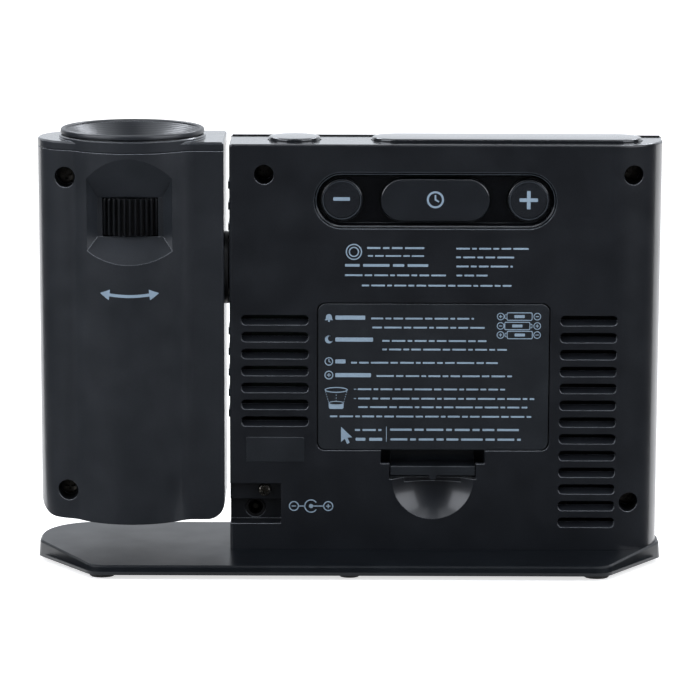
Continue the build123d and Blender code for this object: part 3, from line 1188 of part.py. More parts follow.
with BuildPart() as projection_lens:
    with Locations((*BARREL, OBJECTIVE_Z)):
        Cylinder(TUBE_BORE - FIT / 2, OBJECTIVE_THICKNESS, align=(Align.CENTER, Align.CENTER, Align.MIN))
    add(dome((*BARREL, OBJECTIVE_Z + OBJECTIVE_THICKNESS), (0, 0, 1), TUBE_BORE, OBJECTIVE_RISE),
        mode=Mode.INTERSECT)
save(projection_lens, "projection_lens")

with BuildPart() as led_board:
    with Locations((*BARREL, LED_BOARD_Z)):
        Box(*LED_BOARD_SIZE, BOARD, align=(Align.CENTER, Align.CENTER, Align.MIN))
save(led_board, "led_board")

with BuildPart() as projector_led:
    with Locations((*BARREL, LED_BOARD_Z + BOARD)):
        Box(LED_SIDE, LED_SIDE, LED_HEIGHT, align=(Align.CENTER, Align.CENTER, Align.MIN))
save(projector_led, "projector_led")

with BuildPart() as condenser_lens:
    with Locations((*BARREL, LED_BOARD_Z + BOARD)):
        Cylinder(CONDENSER_RADIUS, CONDENSER_HEIGHT, align=(Align.CENTER, Align.CENTER, Align.MIN))
        Cylinder(CONDENSER_RADIUS - CONDENSER_SKIRT, CONDENSER_HOLLOW,
                 align=(Align.CENTER, Align.CENTER, Align.MIN), mode=Mode.SUBTRACT)
    add(dome((*BARREL, LED_BOARD_Z + BOARD + CONDENSER_HEIGHT), (0, 0, 1), CONDENSER_RADIUS,
             CONDENSER_RISE), mode=Mode.INTERSECT)
save(condenser_lens, "condenser_lens")
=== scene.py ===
"""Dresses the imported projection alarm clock: finishes, fine pieces, prints, studio and camera.

Lengths are millimetres in the body frame of the clock: x runs to the projector, y out of the
flat back and z up it, with the origin at the foot of the back. Stance leans that frame back on
the base plate and turns it to the metres of the row frame.
"""

import json
import logging
import math
from collections.abc import Callable, Iterable, Sequence
from dataclasses import dataclass, field, replace
from enum import Enum

import bmesh
import bpy
from mathutils import Matrix, Vector


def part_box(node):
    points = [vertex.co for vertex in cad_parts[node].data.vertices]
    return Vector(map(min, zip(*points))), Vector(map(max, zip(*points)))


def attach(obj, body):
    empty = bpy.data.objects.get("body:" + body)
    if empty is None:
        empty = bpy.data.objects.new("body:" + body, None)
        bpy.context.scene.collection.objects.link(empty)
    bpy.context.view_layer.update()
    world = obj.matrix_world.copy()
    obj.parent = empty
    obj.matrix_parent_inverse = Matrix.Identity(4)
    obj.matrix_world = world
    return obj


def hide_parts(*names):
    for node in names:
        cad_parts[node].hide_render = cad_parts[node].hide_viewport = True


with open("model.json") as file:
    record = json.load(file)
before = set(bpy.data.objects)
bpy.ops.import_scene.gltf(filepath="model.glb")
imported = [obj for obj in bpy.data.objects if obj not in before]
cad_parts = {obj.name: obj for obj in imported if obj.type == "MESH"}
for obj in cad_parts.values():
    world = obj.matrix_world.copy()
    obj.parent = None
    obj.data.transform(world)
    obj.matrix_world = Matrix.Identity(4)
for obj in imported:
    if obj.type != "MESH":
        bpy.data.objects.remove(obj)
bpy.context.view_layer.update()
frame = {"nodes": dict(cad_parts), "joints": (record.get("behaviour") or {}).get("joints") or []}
MM = 0.001
Point = tuple[float, float]
Ring = list[tuple[float, float, float]]
log = logging.getLogger("clock")


# ------------------------ the frame that leans back
@dataclass(frozen=True)
class Stance:
    """How the housing and the tower stand on the sloping base plate."""

    rear_setback: float = 17.4
    rear_thickness: float = 2.4
    foot_height: float = 1.2

    def matrix(self) -> Matrix:
        """Transform from body millimetres to row metres.

        Returns:
            The scaled, leaned and shifted frame.
        """
        spin = next(j for j in frame["joints"] if j["name"] == "image_rotation")["axis"]
        lean = math.atan2(spin[1], spin[2])
        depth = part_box("base_plate")[1].y / MM
        foot = (0, depth - self.rear_setback * math.cos(lean),
                self.foot_height + self.rear_thickness + self.rear_setback * math.sin(lean))
        return Matrix.Scale(MM, 4) @ Matrix.Translation(foot) @ Matrix.Rotation(-lean, 4, "X")


STANCE = Stance().matrix()
FRONT_FOOT = 25.0               # depth of the housing at its foot and at its top
FRONT_TOP = 18.7
HEIGHT = 103.6
ENDS = (-78.7, 30.3)            # both ends of the housing
BARREL = (55.0, -12.2)          # upright axis of the tower's bulge, its wheel and its funnel


def axes(origin: Sequence[float], across: Sequence[float], up: Sequence[float]) -> Matrix:
    """Matrix from the (across, up, out) of a flat face to the body frame."""
    u, v = Vector(across).normalized(), Vector(up).normalized()
    return Matrix.Translation(origin) @ Matrix((u, v, u.cross(v))).transposed().to_4x4()


class Face(Enum):
    """Faces of the clock that flat pieces lie on. The third coordinate runs out of the face."""

    BACK = axes((0, 0, 0), (-1, 0, 0), (0, 0, 1))
    TOP = axes((0, 0, 0), (-1, 0, 0), (0, -1, 0))
    FRONT = axes((0, -FRONT_FOOT, 0), (1, 0, 0), (0, FRONT_FOOT - FRONT_TOP, HEIGHT))
    END = axes((ENDS[0], 0, 0), (0, -1, 0), (0, 0, 1))
    UPRIGHT = axes((0, 0, 0), (1, 0, 0), (0, 1, 0))


# ------------------------ outlines
END_STEPS = 24                  # steps of a slot's round end


def spot(centre: Point, radius: float, turn: float) -> Point:
    """Point at an angle, in radians, round a centre."""
    return centre[0] + radius * math.cos(turn), centre[1] + radius * math.sin(turn)


def raised(outline: Iterable[Point], height: float) -> Ring:
    """The outline as a ring at one height."""
    return [(u, v, height) for u, v in outline]


def arc(centre: Point, radius: float, start: float, end: float, steps: int) -> list[Point]:
    """Points along an arc, its angles in degrees."""
    return [spot(centre, radius, math.radians(start + (end - start) * n / steps))
            for n in range(steps + 1)]


def stadium(centre: Point, straight: float, radius: float) -> list[Point]:
    """Outline of a slot with round ends, from half its straight part, anticlockwise."""
    return [point for side, start in ((1, -90), (-1, 90)) for point in arc(
        (centre[0] + side * straight, centre[1]), radius, start, start + 180, END_STEPS)]


def round_box(centre: Point, width: float, height: float, radius: float,
              steps: int = 5) -> list[Point]:
    """Outline of a rectangle with round corners, anticlockwise.

    Args:
        centre: its middle.
        width: its width.
        height: its height.
        radius: radius of its corners.
        steps: steps round each of them.

    Returns:
        Its points.
    """
    corners = ((1, 1, 0), (-1, 1, 90), (-1, -1, 180), (1, -1, 270))
    return [point for side, end, start in corners for point in arc(
        (centre[0] + side * (width / 2 - radius), centre[1] + end * (height / 2 - radius)),
        radius, start, start + 90, steps)]


# ------------------------ meshes
SHARP = 32.0                    # degrees; edges that turn more stay crisp
ROD_SIDES = 10


def put(name: str, data: bpy.types.ID) -> bpy.types.Object:
    """Put a mesh, a lamp or a camera into the scene.

    Args:
        name: name of the object.
        data: what it shows.

    Returns:
        The object.
    """
    obj = bpy.data.objects.new(name, data)
    bpy.context.scene.collection.objects.link(obj)
    return obj


class Shape:
    """A mesh in the making, in the coordinates of one face."""

    def __init__(self) -> None:
        """Start with nothing."""
        self.bm = bmesh.new()

    def loft(self, rings: Sequence[Ring], closed: bool = False) -> None:
        """Join rings that have as many points each, and fill the ends of an open row.

        Args:
            rings: the rings, one after another.
            closed: whether the last ring is joined to the first.
        """
        rows = [[self.bm.verts.new(p) for p in ring] for ring in rings]
        for low, high in zip(rows, rows[1:] + rows[:1] if closed else rows[1:]):
            for n in range(len(low)):
                m = (n + 1) % len(low)
                self.bm.faces.new((low[n], low[m], high[m], high[n]))
        if not closed:
            self.bm.faces.new(rows[0])
            self.bm.faces.new(rows[-1])

    def prism(self, outline: Sequence[Point], low: float, high: float) -> None:
        """Closed plate with this outline between two heights."""
        self.loft([raised(outline, low), raised(outline, high)])

    def lathe(self, profile: Sequence[Point], centre: Point, segments: int) -> None:
        """Turned solid with a closed profile of (radius, height) points."""
        turns = [n * math.tau / segments for n in range(segments)]
        self.loft([[(*spot(centre, r, t), h) for t in turns] for r, h in profile], closed=True)

    def tube(self, path: Sequence[Vector], radius: float) -> None:
        """Round rod along a path.

        Args:
            path: its centre line.
            radius: radius of the rod.
        """
        side = (path[1] - path[0]).orthogonal().normalized()
        rings = []
        for n, point in enumerate(path):
            along = (path[min(n + 1, len(path) - 1)] - path[max(n - 1, 0)]).normalized()
            side = (side - along * side.dot(along)).normalized()
            other = along.cross(side)
            rings.append([tuple(point + radius * (side * math.cos(t) + other * math.sin(t)))
                          for t in (k * math.tau / ROD_SIDES for k in range(ROD_SIDES))])
        self.loft(rings)

    def piece(self, name: str, face: Face, finish: "Finish", body: str,
              bend: Callable[[Vector], Vector] | None = None, replaces: str = "") -> None:
        """Turn the shape into a piece of the clock.

        Args:
            name: name of the piece.
            face: face whose coordinates the shape is in.
            finish: its finish.
            body: body that it moves with.
            bend: moves each point of the body frame, as on a curved wall.
            replaces: CAD node that it stands for.
        """
        bmesh.ops.remove_doubles(self.bm, verts=self.bm.verts, dist=1e-4)
        bmesh.ops.dissolve_degenerate(self.bm, edges=self.bm.edges, dist=1e-5)
        self.bm.transform(face.value)
        if bend:
            for vert in self.bm.verts:
                vert.co = bend(vert.co)
        self.bm.transform(STANCE)
        bmesh.ops.recalc_face_normals(self.bm, faces=self.bm.faces)
        mesh = bpy.data.meshes.new(name)
        self.bm.to_mesh(mesh)
        self.bm.free()
        mesh.polygons.foreach_set("use_smooth", [True] * len(mesh.polygons))
        mesh.set_sharp_from_angle(angle=math.radians(SHARP))
        mesh.materials.append(finish.material())
        obj = put(name, mesh)
        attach(obj, body)
        if replaces:
            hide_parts(replaces)
        log.info("%s: %d faces, rides on %s", name, len(mesh.polygons), body)


# ------------------------ finishes
def linear(code: str) -> tuple[float, ...]:
    """Scene-linear colour of an sRGB hex code such as "#202124"."""
    parts = [int(code[n:n + 2], 16) / 255 for n in (1, 3, 5)]
    return (*(c / 12.92 if c <= 0.04045 else ((c + 0.055) / 1.055) ** 2.4 for c in parts), 1.0)


def blank(name: str) -> bpy.types.Material:
    """A node material with nothing in it.

    Args:
        name: name of the material.

    Returns:
        The material.
    """
    made = bpy.data.materials.new(name)
    made.use_nodes = True
    made.node_tree.nodes.clear()
    return made


def add(tree: bpy.types.NodeTree, kind: str, inputs: dict | None = None,
        **settings: object) -> bpy.types.Node:
    """Add a node.

    Args:
        tree: the tree that it goes in.
        kind: the node's type, without its ShaderNode prefix.
        inputs: a value for each named or numbered input, or a socket to link, or a node whose
            first output is linked.
        settings: properties of the node.

    Returns:
        The node.
    """
    node = tree.nodes.new("ShaderNode" + kind)
    for key, value in settings.items():
        setattr(node, key, value)
    for key, value in (inputs or {}).items():
        if isinstance(value, bpy.types.Node):
            value = value.outputs[0]
        if isinstance(value, bpy.types.NodeSocket):
            tree.links.new(value, node.inputs[key])
        else:
            node.inputs[key].default_value = value
    return node


class Grain(Enum):
    """Patterns that making leaves on a surface."""

    SPARK = "spark-eroded mould"
    POLISH = "polished mould"
    TURNED = "turned or wound"
    CAST = "pressed powder"


CLOUD_MM = 9.0                  # width of the slow clouds of flow and handling
EDGE_HIGHLIGHT_PAINT = "#B4BAC2"              # pale grey painted onto edges that face up, as a painted highlight
WAVE_PER_UNIT = 3.2             # rings that Blender's wave texture draws per unit of scale


@dataclass(frozen=True)
class Finish:
    """What a piece is made of and how its surface was made."""

    name: str
    dark: str
    light: str
    roughness: float
    grain: Grain = Grain.SPARK
    grain_mm: float = 0.4       # size of one grain, and how deep it is
    depth_mm: float = 0.02
    spread: float = 0.06        # how far the roughness wanders
    edge_mm: float = 0.12       # radius that edges are softened to
    ior: float = 1.5
    metallic: float = 0.0
    clear: float = 0.0
    glow: float = 0.0
    coat: float = 0.0           # gloss of the moulded skin, and of its faces that look up
    coat_up: float = 0.0
    coat_rough: float = 0.2
    specular: float = 0.5
    edge_highlight: float = 0.0           # how strongly edges that face up get a painted highlight
    slot: str = ""              # name of a material slot; CAD nodes keep their own

    def material(self) -> bpy.types.Material:
        """The finish as a node material, made once.

        Returns:
            The material.
        """
        made = bpy.data.materials.get(self.name)
        if made:
            return made
        made = blank(self.name)
        tree = made.node_tree
        place = add(tree, "TexCoord").outputs["Object"]
        fine = self.pattern(tree, place)
        cloud = add(tree, "TexNoise", {"Vector": place, "Scale": 1 / (CLOUD_MM * MM),
                                       "Detail": 3.0})
        blend = add(tree, "Math", {0: fine, 1: cloud}, operation="MULTIPLY")
        tint = add(tree, "MapRange", {0: blend, "From Min": 0.1, "From Max": 0.45})
        colour = add(tree, "Mix", {0: tint, 6: linear(self.dark), 7: linear(self.light)},
                     data_type="RGBA").outputs[2]
        rough = add(tree, "MapRange", {
            0: cloud, "From Min": 0.3, "From Max": 0.7,
            "To Min": self.roughness - self.spread, "To Max": self.roughness + self.spread})
        bevel = add(tree, "Bevel", {"Radius": self.edge_mm * MM}, samples=4)
        # painted highlight: edges that face up are mixed towards pale grey
        if self.edge_highlight:
            colour = self.paint_edge_highlight(tree, colour, bevel)
        bump = add(tree, "Bump", {"Height": fine, "Distance": self.depth_mm * MM,
                                  "Strength": 0.5, "Normal": bevel})
        shader = add(tree, "BsdfPrincipled", {
            "Base Color": colour, "Roughness": rough, "Normal": bump, "Metallic": self.metallic,
            "IOR": self.ior, "Transmission Weight": self.clear, "Specular IOR Level": self.specular,
            "Coat Weight": self.coat, "Coat Roughness": self.coat_rough})
        if self.coat_up:
            way = add(tree, "SeparateXYZ", {0: add(tree, "TexCoord").outputs["Normal"]})
            gloss = add(tree, "MapRange", {0: way.outputs[2], "From Min": 0.5, "From Max": 0.9,
                                           "To Min": self.coat, "To Max": self.coat_up})
            tree.links.new(gloss.outputs[0], shader.inputs["Coat Weight"])
        if self.glow:
            shader.inputs["Emission Color"].default_value = linear(self.light)
            shader.inputs["Emission Strength"].default_value = self.glow
        add(tree, "OutputMaterial", {"Surface": shader})
        return made

    def paint_edge_highlight(self, tree: bpy.types.NodeTree, colour: bpy.types.NodeSocket,
               rounded: bpy.types.Node) -> bpy.types.NodeSocket:
        """Painted highlight: a pale, hair-thin line on edges that face up, where light from above
        would catch them.

        Args:
            tree: tree of the material.
            colour: colour of the flat surface.
            rounded: node of the normal that turns round the edges.

        Returns:
            The colour with the painted highlight on its edges.
        """
        flat = add(tree, "NewGeometry").outputs["Normal"]
        turned = add(tree, "VectorMath", {0: flat, 1: rounded}, operation="DOT_PRODUCT").outputs[1]
        edge = add(tree, "MapRange", {0: turned, "From Min": 0.96, "From Max": 0.8})
        own = add(tree, "VectorTransform", {0: rounded}, vector_type="NORMAL",
                  convert_from="WORLD", convert_to="OBJECT")
        rise = add(tree, "SeparateXYZ", {0: own}).outputs[2]
        up = add(tree, "MapRange", {0: rise, "From Min": 0.1, "From Max": 0.5})
        share = add(tree, "Math", {0: edge, 1: up}, operation="MULTIPLY")
        pale = add(tree, "Math", {0: share, 1: self.edge_highlight}, operation="MULTIPLY")
        return add(tree, "Mix", {0: pale, 6: colour, 7: linear(EDGE_HIGHLIGHT_PAINT)},
                   data_type="RGBA").outputs[2]

    def pattern(self, tree: bpy.types.NodeTree,
                place: bpy.types.NodeSocket) -> bpy.types.NodeSocket:
        """The fine pattern of the surface.

        Args:
            tree: tree of the material.
            place: coordinates in metres.

        Returns:
            A height from 0 to 1.
        """
        scale = 1 / (self.grain_mm * MM)
        if self.grain is Grain.TURNED:
            wave = {"Vector": place, "Scale": scale / WAVE_PER_UNIT, "Distortion": 0.4,
                    "Detail": 2.0}
            return add(tree, "TexWave", wave, wave_type="RINGS",
                       rings_direction="SPHERICAL").outputs["Fac"]
        if self.grain is Grain.CAST:
            return add(tree, "TexVoronoi", {"Vector": place, "Scale": scale}).outputs["Distance"]
        noise = {"Vector": place, "Scale": scale, "Detail": 4.0, "Roughness": 0.65}
        return add(tree, "TexNoise", noise).outputs["Fac"]


# Black ABS from a spark-eroded mould: deep blue-black with a soft, even sheen. The real pits
# are under 0.1 mm; they are drawn coarser so that they show as a faint tooth.
HOUSING_ABS = Finish(
    "spark_eroded_abs", "#15171B", "#1E2126", 0.31, grain_mm=0.45, depth_mm=0.004, spread=0.03,
    edge_mm=0.28, coat=0.35, coat_up=1.0, coat_rough=0.1, edge_highlight=0.9)
# The tower comes from a mould of its own, a shade paler.
TOWER_ABS = replace(HOUSING_ABS, name="spark_eroded_abs_tower", dark="#1F2226", light="#292C31",
                    roughness=0.32)
# The door is moulded with a deeper pit and looks a touch greyer than the back round it.
DOOR_ABS = Finish(
    "spark_eroded_abs_door", "#1B1E22", "#25292E", 0.36, grain_mm=0.45, depth_mm=0.010, spread=0.03,
    edge_mm=0.25, coat=0.5, specular=0.4, edge_highlight=0.4, slot="door_plastic")
# The base plate is satin: darker than the housing, with softer lights.
BASE_ABS = Finish(
    "satin_abs_base", "#101317", "#171B20", 0.32, grain_mm=0.6, depth_mm=0.006, spread=0.03,
    edge_mm=0.3, specular=0.3)
# The keys are moulded in the same ABS with a finer pit, so they look a little smoother.
KEY_ABS = Finish(
    "fine_abs_keys", "#17191D", "#202429", 0.24, grain_mm=0.3, depth_mm=0.0008, spread=0.03,
    edge_mm=0.2, coat=1.0, coat_rough=0.08, specular=0.55, edge_highlight=0.4, slot="button_plastic")
# Mould steel polished to a mirror gives the key surround a wet-looking black.
GLOSS_ABS = Finish(
    "polished_abs", "#08090B", "#0C0E11", 0.16, Grain.POLISH, grain_mm=3.0, depth_mm=0.002,
    spread=0.03, edge_mm=0.3, edge_highlight=0.12, slot="surround_plastic")
# Grey print film drawn as a painted highlight: the thin line where a polished edge of the same
# plastic would glint.
RIM_HIGHLIGHT_PAINT = Finish(
    "painted_rim_highlight", "#2E3338", "#454B52", 0.2, depth_mm=0.002, edge_mm=0.02, slot="button_plastic")
# Dark moulded nylon of the wheel: the grooves swallow light, the crests catch it.
WHEEL_NYLON = Finish(
    "ribbed_nylon", "#0B0C0E", "#15181C", 0.34, depth_mm=0.006, edge_mm=0.15, ior=1.53,
    slot="button_plastic")
# Black polycarbonate turned in fine rings: satin on the crests, so the funnel shows two soft
# patches of light and stays dark between them.
SHROUD_PC = Finish(
    "ringed_polycarbonate", "#16191E", "#22262C", 0.34, ior=1.58, depth_mm=0.006, spread=0.03,
    edge_mm=0.14, specular=0.6, edge_highlight=0.9, slot="shroud_plastic")
# The same left matt from the mould, to keep stray light out of the picture.
TUBE_PC = Finish("dull_polycarbonate", "#0D0E10", "#15171A", 0.5, ior=1.58)
# Smoked cast acrylic: mirror-smooth and nearly black until the display behind it is lit.
SMOKED_ACRYLIC = Finish(
    "smoked_acrylic", "#4A4C52", "#505259", 0.03, Grain.POLISH, grain_mm=4.0, depth_mm=0.001,
    spread=0.01, ior=1.49, clear=1.0, edge_mm=0.2)
# Pad-printing ink: a flat, slightly chalky blue grey that lies on the plastic as a thin film.
PRINT_INK = Finish(
    "pad_print_ink", "#778A9B", "#8B9FAF", 0.62, grain_mm=0.25, depth_mm=0.006, edge_mm=0.02,
    slot="housing_plastic")
# Moulded rubber of the feet: dull and dusty, without a light of its own.
RUBBER = Finish(
    "moulded_rubber", "#141415", "#1E1F20", 0.78, grain_mm=0.35, depth_mm=0.03, ior=1.52)
# The gap where bezel and cover meet lets no light out, so it is drawn as a dead black line.
SHADOW_GAP = Finish(
    "shadow_gap", "#020203", "#050506", 0.9, grain_mm=0.3, depth_mm=0.002, edge_mm=0.01,
    specular=0.0, slot="housing_plastic")
# Zinc plating with a black passivate worn by the driver: grey metal with a faint oily sheen.
BLACK_ZINC = Finish(
    "black_zinc_steel", "#807B73", "#A39D93", 0.42, Grain.TURNED, grain_mm=0.25, depth_mm=0.004,
    metallic=1.0, slot="screw_black")
# Nickel plating over steel: bright, slightly warm, with fine turning marks.
NICKEL = Finish(
    "nickel_plated_steel", "#77736C", "#9A958C", 0.24, Grain.TURNED, grain_mm=0.22, depth_mm=0.004,
    metallic=1.0, slot="screw_steel")
# Bright nickel on hard-drawn wire and strip: clean, sharp lights along the bends.
SPRING_STEEL = Finish(
    "nickel_spring_steel", "#B4B2AD", "#CFCDC8", 0.2, Grain.POLISH, grain_mm=0.8, depth_mm=0.002,
    metallic=1.0, edge_mm=0.05, slot="contact_steel")
# Matt black nylon of the jack, darkened further as painted shade of its deep recess: nearly
# lightless there.
JACK_NYLON_SHADED = Finish("matt_nylon_painted_shade", "#060607", "#0B0B0D", 0.5, depth_mm=0.006, ior=1.53)
# Nickel over brass, its colour darkened as painted shade so that the pin hardly shows in its bore.
PIN_PAINTED_SHADE = Finish(
    "nickel_brass_painted_shade", "#4C4A44", "#66635B", 0.35, Grain.TURNED, grain_mm=0.2, depth_mm=0.003,
    metallic=1.0)
# Solder mask over woven glass: even green gloss with a faint cloth relief.
SOLDER_MASK = Finish(
    "solder_mask_on_glass_epoxy", "#0A2015", "#10301E", 0.35, Grain.CAST, grain_mm=0.5,
    depth_mm=0.01, ior=1.55)
# Glass-filled nylon and PBT of the small parts on the boards: plain matt black.
SWITCH_NYLON = Finish("switch_nylon", "#151515", "#202020", 0.5)
BUZZER_PBT = Finish("black_pbt", "#141416", "#1E1E21", 0.5)
# Float glass over a black mask: flat and still, with a hard reflection.
LCD_GLASS = Finish(
    "display_glass", "#0C0F12", "#11161A", 0.12, Grain.POLISH, grain_mm=5.0, depth_mm=0.001,
    ior=1.52)
# Acrylic guide coloured near black: painted shade of the housing's inside, seen through the vents.
SHADED_GUIDE_ACRYLIC = Finish(
    "acrylic_painted_shade", "#0B0C0D", "#131416", 0.45, Grain.POLISH, grain_mm=2.0, depth_mm=0.003,
    ior=1.49)
# Moulded optical acrylic, clear and smooth.
LENS_ACRYLIC = Finish(
    "optical_acrylic", "#DDE6EC", "#E8F0F4", 0.02, Grain.POLISH, grain_mm=3.0, depth_mm=0.001,
    spread=0.01, ior=1.49, clear=1.0)
# Phosphor in silicone: a chalky yellow dot while the lamp is off.
PHOSPHOR = Finish("lamp_phosphor", "#D8C77A", "#E6D88F", 0.5, Grain.CAST, grain_mm=0.2)
# Sintered ferrite: charcoal, with the dry bloom of pressed powder.
FERRITE = Finish(
    "sintered_ferrite", "#1D1D1F", "#2C2C2F", 0.55, Grain.CAST, grain_mm=0.3, depth_mm=0.03)
# Enamelled wire laid turn by turn: brown copper with a fine ribbed gleam.
COPPER_WIRE = Finish(
    "enamelled_copper_wire", "#7A3414", "#A34E22", 0.3, Grain.TURNED, grain_mm=0.3, depth_mm=0.05,
    metallic=1.0)
# Lit segments of the display: cool white, at the strength of a dimmed backlight.
SEGMENT = Finish(
    "lit_segment", "#B9CCD9", "#CFE0EA", 0.5, Grain.POLISH, grain_mm=2.0, glow=3.0, edge_mm=0.02,
    slot="lcd")


def dress(finish: Finish, *nodes: str) -> None:
    """Give CAD nodes a finish through their material slots.

    Args:
        finish: the finish.
        nodes: names of the nodes.
    """
    for name in nodes:
        for slot in frame["nodes"][name].material_slots:
            slot.material = finish.material()
        log.info("%s: %s", name, finish.name)


# ------------------------ prints
INK = 0.03                      # thickness of the print film
WORDS = (5.4, 2.6, 4.3, 7.8, 3.3, 6.1, 2.1)   # lengths of the dashes, in their own height
WORD_SPACE = 1.0
DASH = 0.8                      # share of the height of a word that its dash fills


@dataclass
class Print:
    """Flat marks on one face, all of one film of ink."""

    name: str
    face: Face
    body: str
    height: float = 0.0         # of the face that they lie on
    bend: Callable[[Vector], Vector] | None = None
    finish: Finish = PRINT_INK
    shape: Shape = field(default_factory=Shape)

    def patch(self, outline: Sequence[Point]) -> None:
        """A filled patch."""
        self.shape.prism(outline, self.height, self.height + INK)

    def bar(self, centre: Point, width: float, height: float) -> None:
        """A bar with soft corners."""
        self.patch(round_box(centre, width, height, min(width, height) * 0.2, 3))

    def line(self, points: Sequence[Point], width: float | Sequence[float],
             closed: bool = False) -> None:
        """A line of even or changing width.

        Args:
            points: its centre line.
            width: its width, or one for each point.
            closed: whether it returns to its first point.
        """
        wide = [width] * len(points) if isinstance(width, float) else width
        low, high, count = self.height, self.height + INK, len(points)
        corners: list[Ring] = []
        for n, (x, y) in enumerate(points):
            before = points[n - 1] if closed or n else None
            after = points[(n + 1) % count] if closed or n < count - 1 else None
            legs = [Vector(b) - Vector(a)
                    for a, b in ((before, (x, y)), ((x, y), after)) if a and b]
            along = sum((leg.normalized() for leg in legs), Vector((0, 0))).normalized()
            reach = wide[n] / 2 / max(0.5, abs(along.dot(legs[0].normalized())))
            a = (x - along.y * reach, y + along.x * reach)
            b = (x + along.y * reach, y - along.x * reach)
            corners.append([(*a, low), (*a, high), (*b, high), (*b, low)])
        self.shape.loft(corners, closed)

    def circle(self, centre: Point, radius: float, width: float, flat: float = 1.0) -> None:
        """A thin ring, or a flattened one."""
        ring = [(x, centre[1] + (y - centre[1]) * flat) for x, y in arc(centre, radius, 0, 345, 23)]
        self.line(ring, width, closed=True)

    def pole(self, centre: Point, radius: float, plus: bool) -> None:
        """A ring with a plus or a minus in it.

        Args:
            centre: its middle.
            radius: radius of the ring.
            plus: whether it is a plus.
        """
        self.circle(centre, radius, radius * 0.25)
        self.bar(centre, radius, radius * 0.24)
        for side in (-1, 1) if plus else ():
            self.bar((centre[0], centre[1] + side * radius * 0.31), radius * 0.24, radius * 0.38)

    def words(self, start: float, end: float, level: float, tall: float = 0.56,
              first: int = 0) -> None:
        """A row of plain dashes of the lengths of words.

        Args:
            start: where the row starts.
            end: where it ends at the latest.
            level: its middle.
            tall: height of the dashes.
            first: which length comes first.
        """
        at, n = start, first
        while end - at > tall:
            length = min(WORDS[n % len(WORDS)] * tall, end - at)
            self.bar((at + length / 2, level), length, tall * DASH)
            at += length + tall * WORD_SPACE
            n += 1

    def done(self) -> None:
        """Turn the print into a piece."""
        self.shape.piece(self.name, self.face, self.finish, self.body, self.bend)


# ------------------------ sub-assemblies
@dataclass
class BasePlate:
    """Wedge-shaped plate with its feet and the screws that hold the housing."""

    def build(self) -> None:
        """Dress the plate, its feet and its screws."""
        dress(BASE_ABS, "base_plate")
        dress(RUBBER, "rubber_feet")
        dress(BLACK_ZINC, "base_screws")


@dataclass
class Screw:
    """Pan-head screw with a cross recess, its head at the foot of a well."""

    name: str
    body: str
    finish: Finish
    node: str
    places: Sequence[Point]
    depth: float
    head: float = 2.2           # radius and height of the head
    head_height: float = 1.5
    shank: float = 1.1
    length: float = 7.0
    cross: float = 2.6          # over the arms of the recess
    cross_width: float = 0.62
    cross_depth: float = 0.85
    cross_taper: float = 0.72   # share that is left of the recess at its foot
    dome: tuple[Point, ...] = ((0.93, -0.35), (0.8, -0.12))     # share of the radius, drop
    steps: int = 24             # points of each ring, six to a quarter of the cross

    def build(self) -> None:
        """Turn the screws and sink their cross recesses."""
        shape = Shape()
        for x, z in self.places:
            shape.loft(self.rings((-x, z)))
        shape.piece(self.name, Face.BACK, self.finish, self.body, replaces=self.node)

    def rings(self, centre: Point) -> list[Ring]:
        """Rings of one screw, from its foot to the foot of its recess.

        Args:
            centre: its axis.

        Returns:
            The rings.
        """
        seat = -self.depth
        top = seat + self.head_height
        rounds = [(self.shank, seat - self.length), (self.shank, seat), (self.head, seat),
                  (self.head, seat + self.head_height * 0.45)]
        rounds += [(self.head * share, top + drop) for share, drop in self.dome]
        turns = [math.radians(45 + 360 * (n + 0.5) / self.steps) for n in range(self.steps)]
        return [raised([spot(centre, r, t) for t in turns], h) for r, h in rounds] + [
            self.plus(centre, 1.0, top),
            self.plus(centre, self.cross_taper, top - self.cross_depth)]

    def plus(self, centre: Point, share: float, height: float) -> Ring:
        """Outline of the cross.

        Args:
            centre: the axis.
            share: its size, as a share of the mouth.
            height: its height.

        Returns:
            The ring.
        """
        reach, half = self.cross / 2 * share, self.cross_width / 2 * share
        arm = [(half, half), ((half + reach) / 2, half), (reach, half), (reach, 0), (reach, -half),
               ((half + reach) / 2, -half)]
        points: Ring = []
        for quarter in range(1, 5):
            cos, sin = math.cos(quarter * math.pi / 2), math.sin(quarter * math.pi / 2)
            points += [(centre[0] + u * cos - v * sin, centre[1] + u * sin + v * cos, height)
                       for u, v in reversed(arm)]
        return points


@dataclass
class Key:
    """Push key with a rounded rim, a slightly crowned face and the flange that keeps it in."""

    name: str
    face: Face
    centre: Point
    straight: float             # half the straight part
    radius: float
    top: float                  # height of the middle of its face
    seat: float                 # height of the top of its flange
    crown: float = 0.12
    rim: float = 0.3
    chamfer: float = 0.0
    flange: float = 0.8
    flange_long: float = 1.0
    flange_wide: float = 0.0
    rim_steps: int = 5
    crown_steps: int = 8

    def build(self) -> None:
        """Loft the key from its flange to the middle of its face."""
        shape = Shape()
        shape.loft([raised(stadium(self.centre, straight, radius), height)
                    for straight, radius, height in self.rings()])
        shape.piece(self.name, self.face, KEY_ABS, self.name, replaces=self.name)

    def rings(self) -> list[tuple[float, float, float]]:
        """Outlines of the key, from the foot up.

        Returns:
            Half straight part, radius and height of each.
        """
        wide = self.radius + self.flange_wide
        grown = self.straight + self.flange_long - self.flange_wide
        made = [(grown, wide, self.seat - self.flange), (grown, wide, self.seat),
                (self.straight, self.radius, self.seat)]
        edge = self.top - self.crown
        for n in range(self.rim_steps + 1):
            t = math.pi / 2 * n / self.rim_steps
            made.append((self.straight, self.radius - self.rim * (1 - math.cos(t)),
                         edge - self.chamfer - self.rim * (1 - math.sin(t))))
        span = self.radius - self.rim - 2 * self.chamfer
        if self.chamfer:
            made.append((self.straight, span, edge))
        for n in range(1, self.crown_steps + 1):
            left = 1 - n / self.crown_steps
            made.append((self.straight, span * left, self.top - self.crown * left ** 2))
        return made


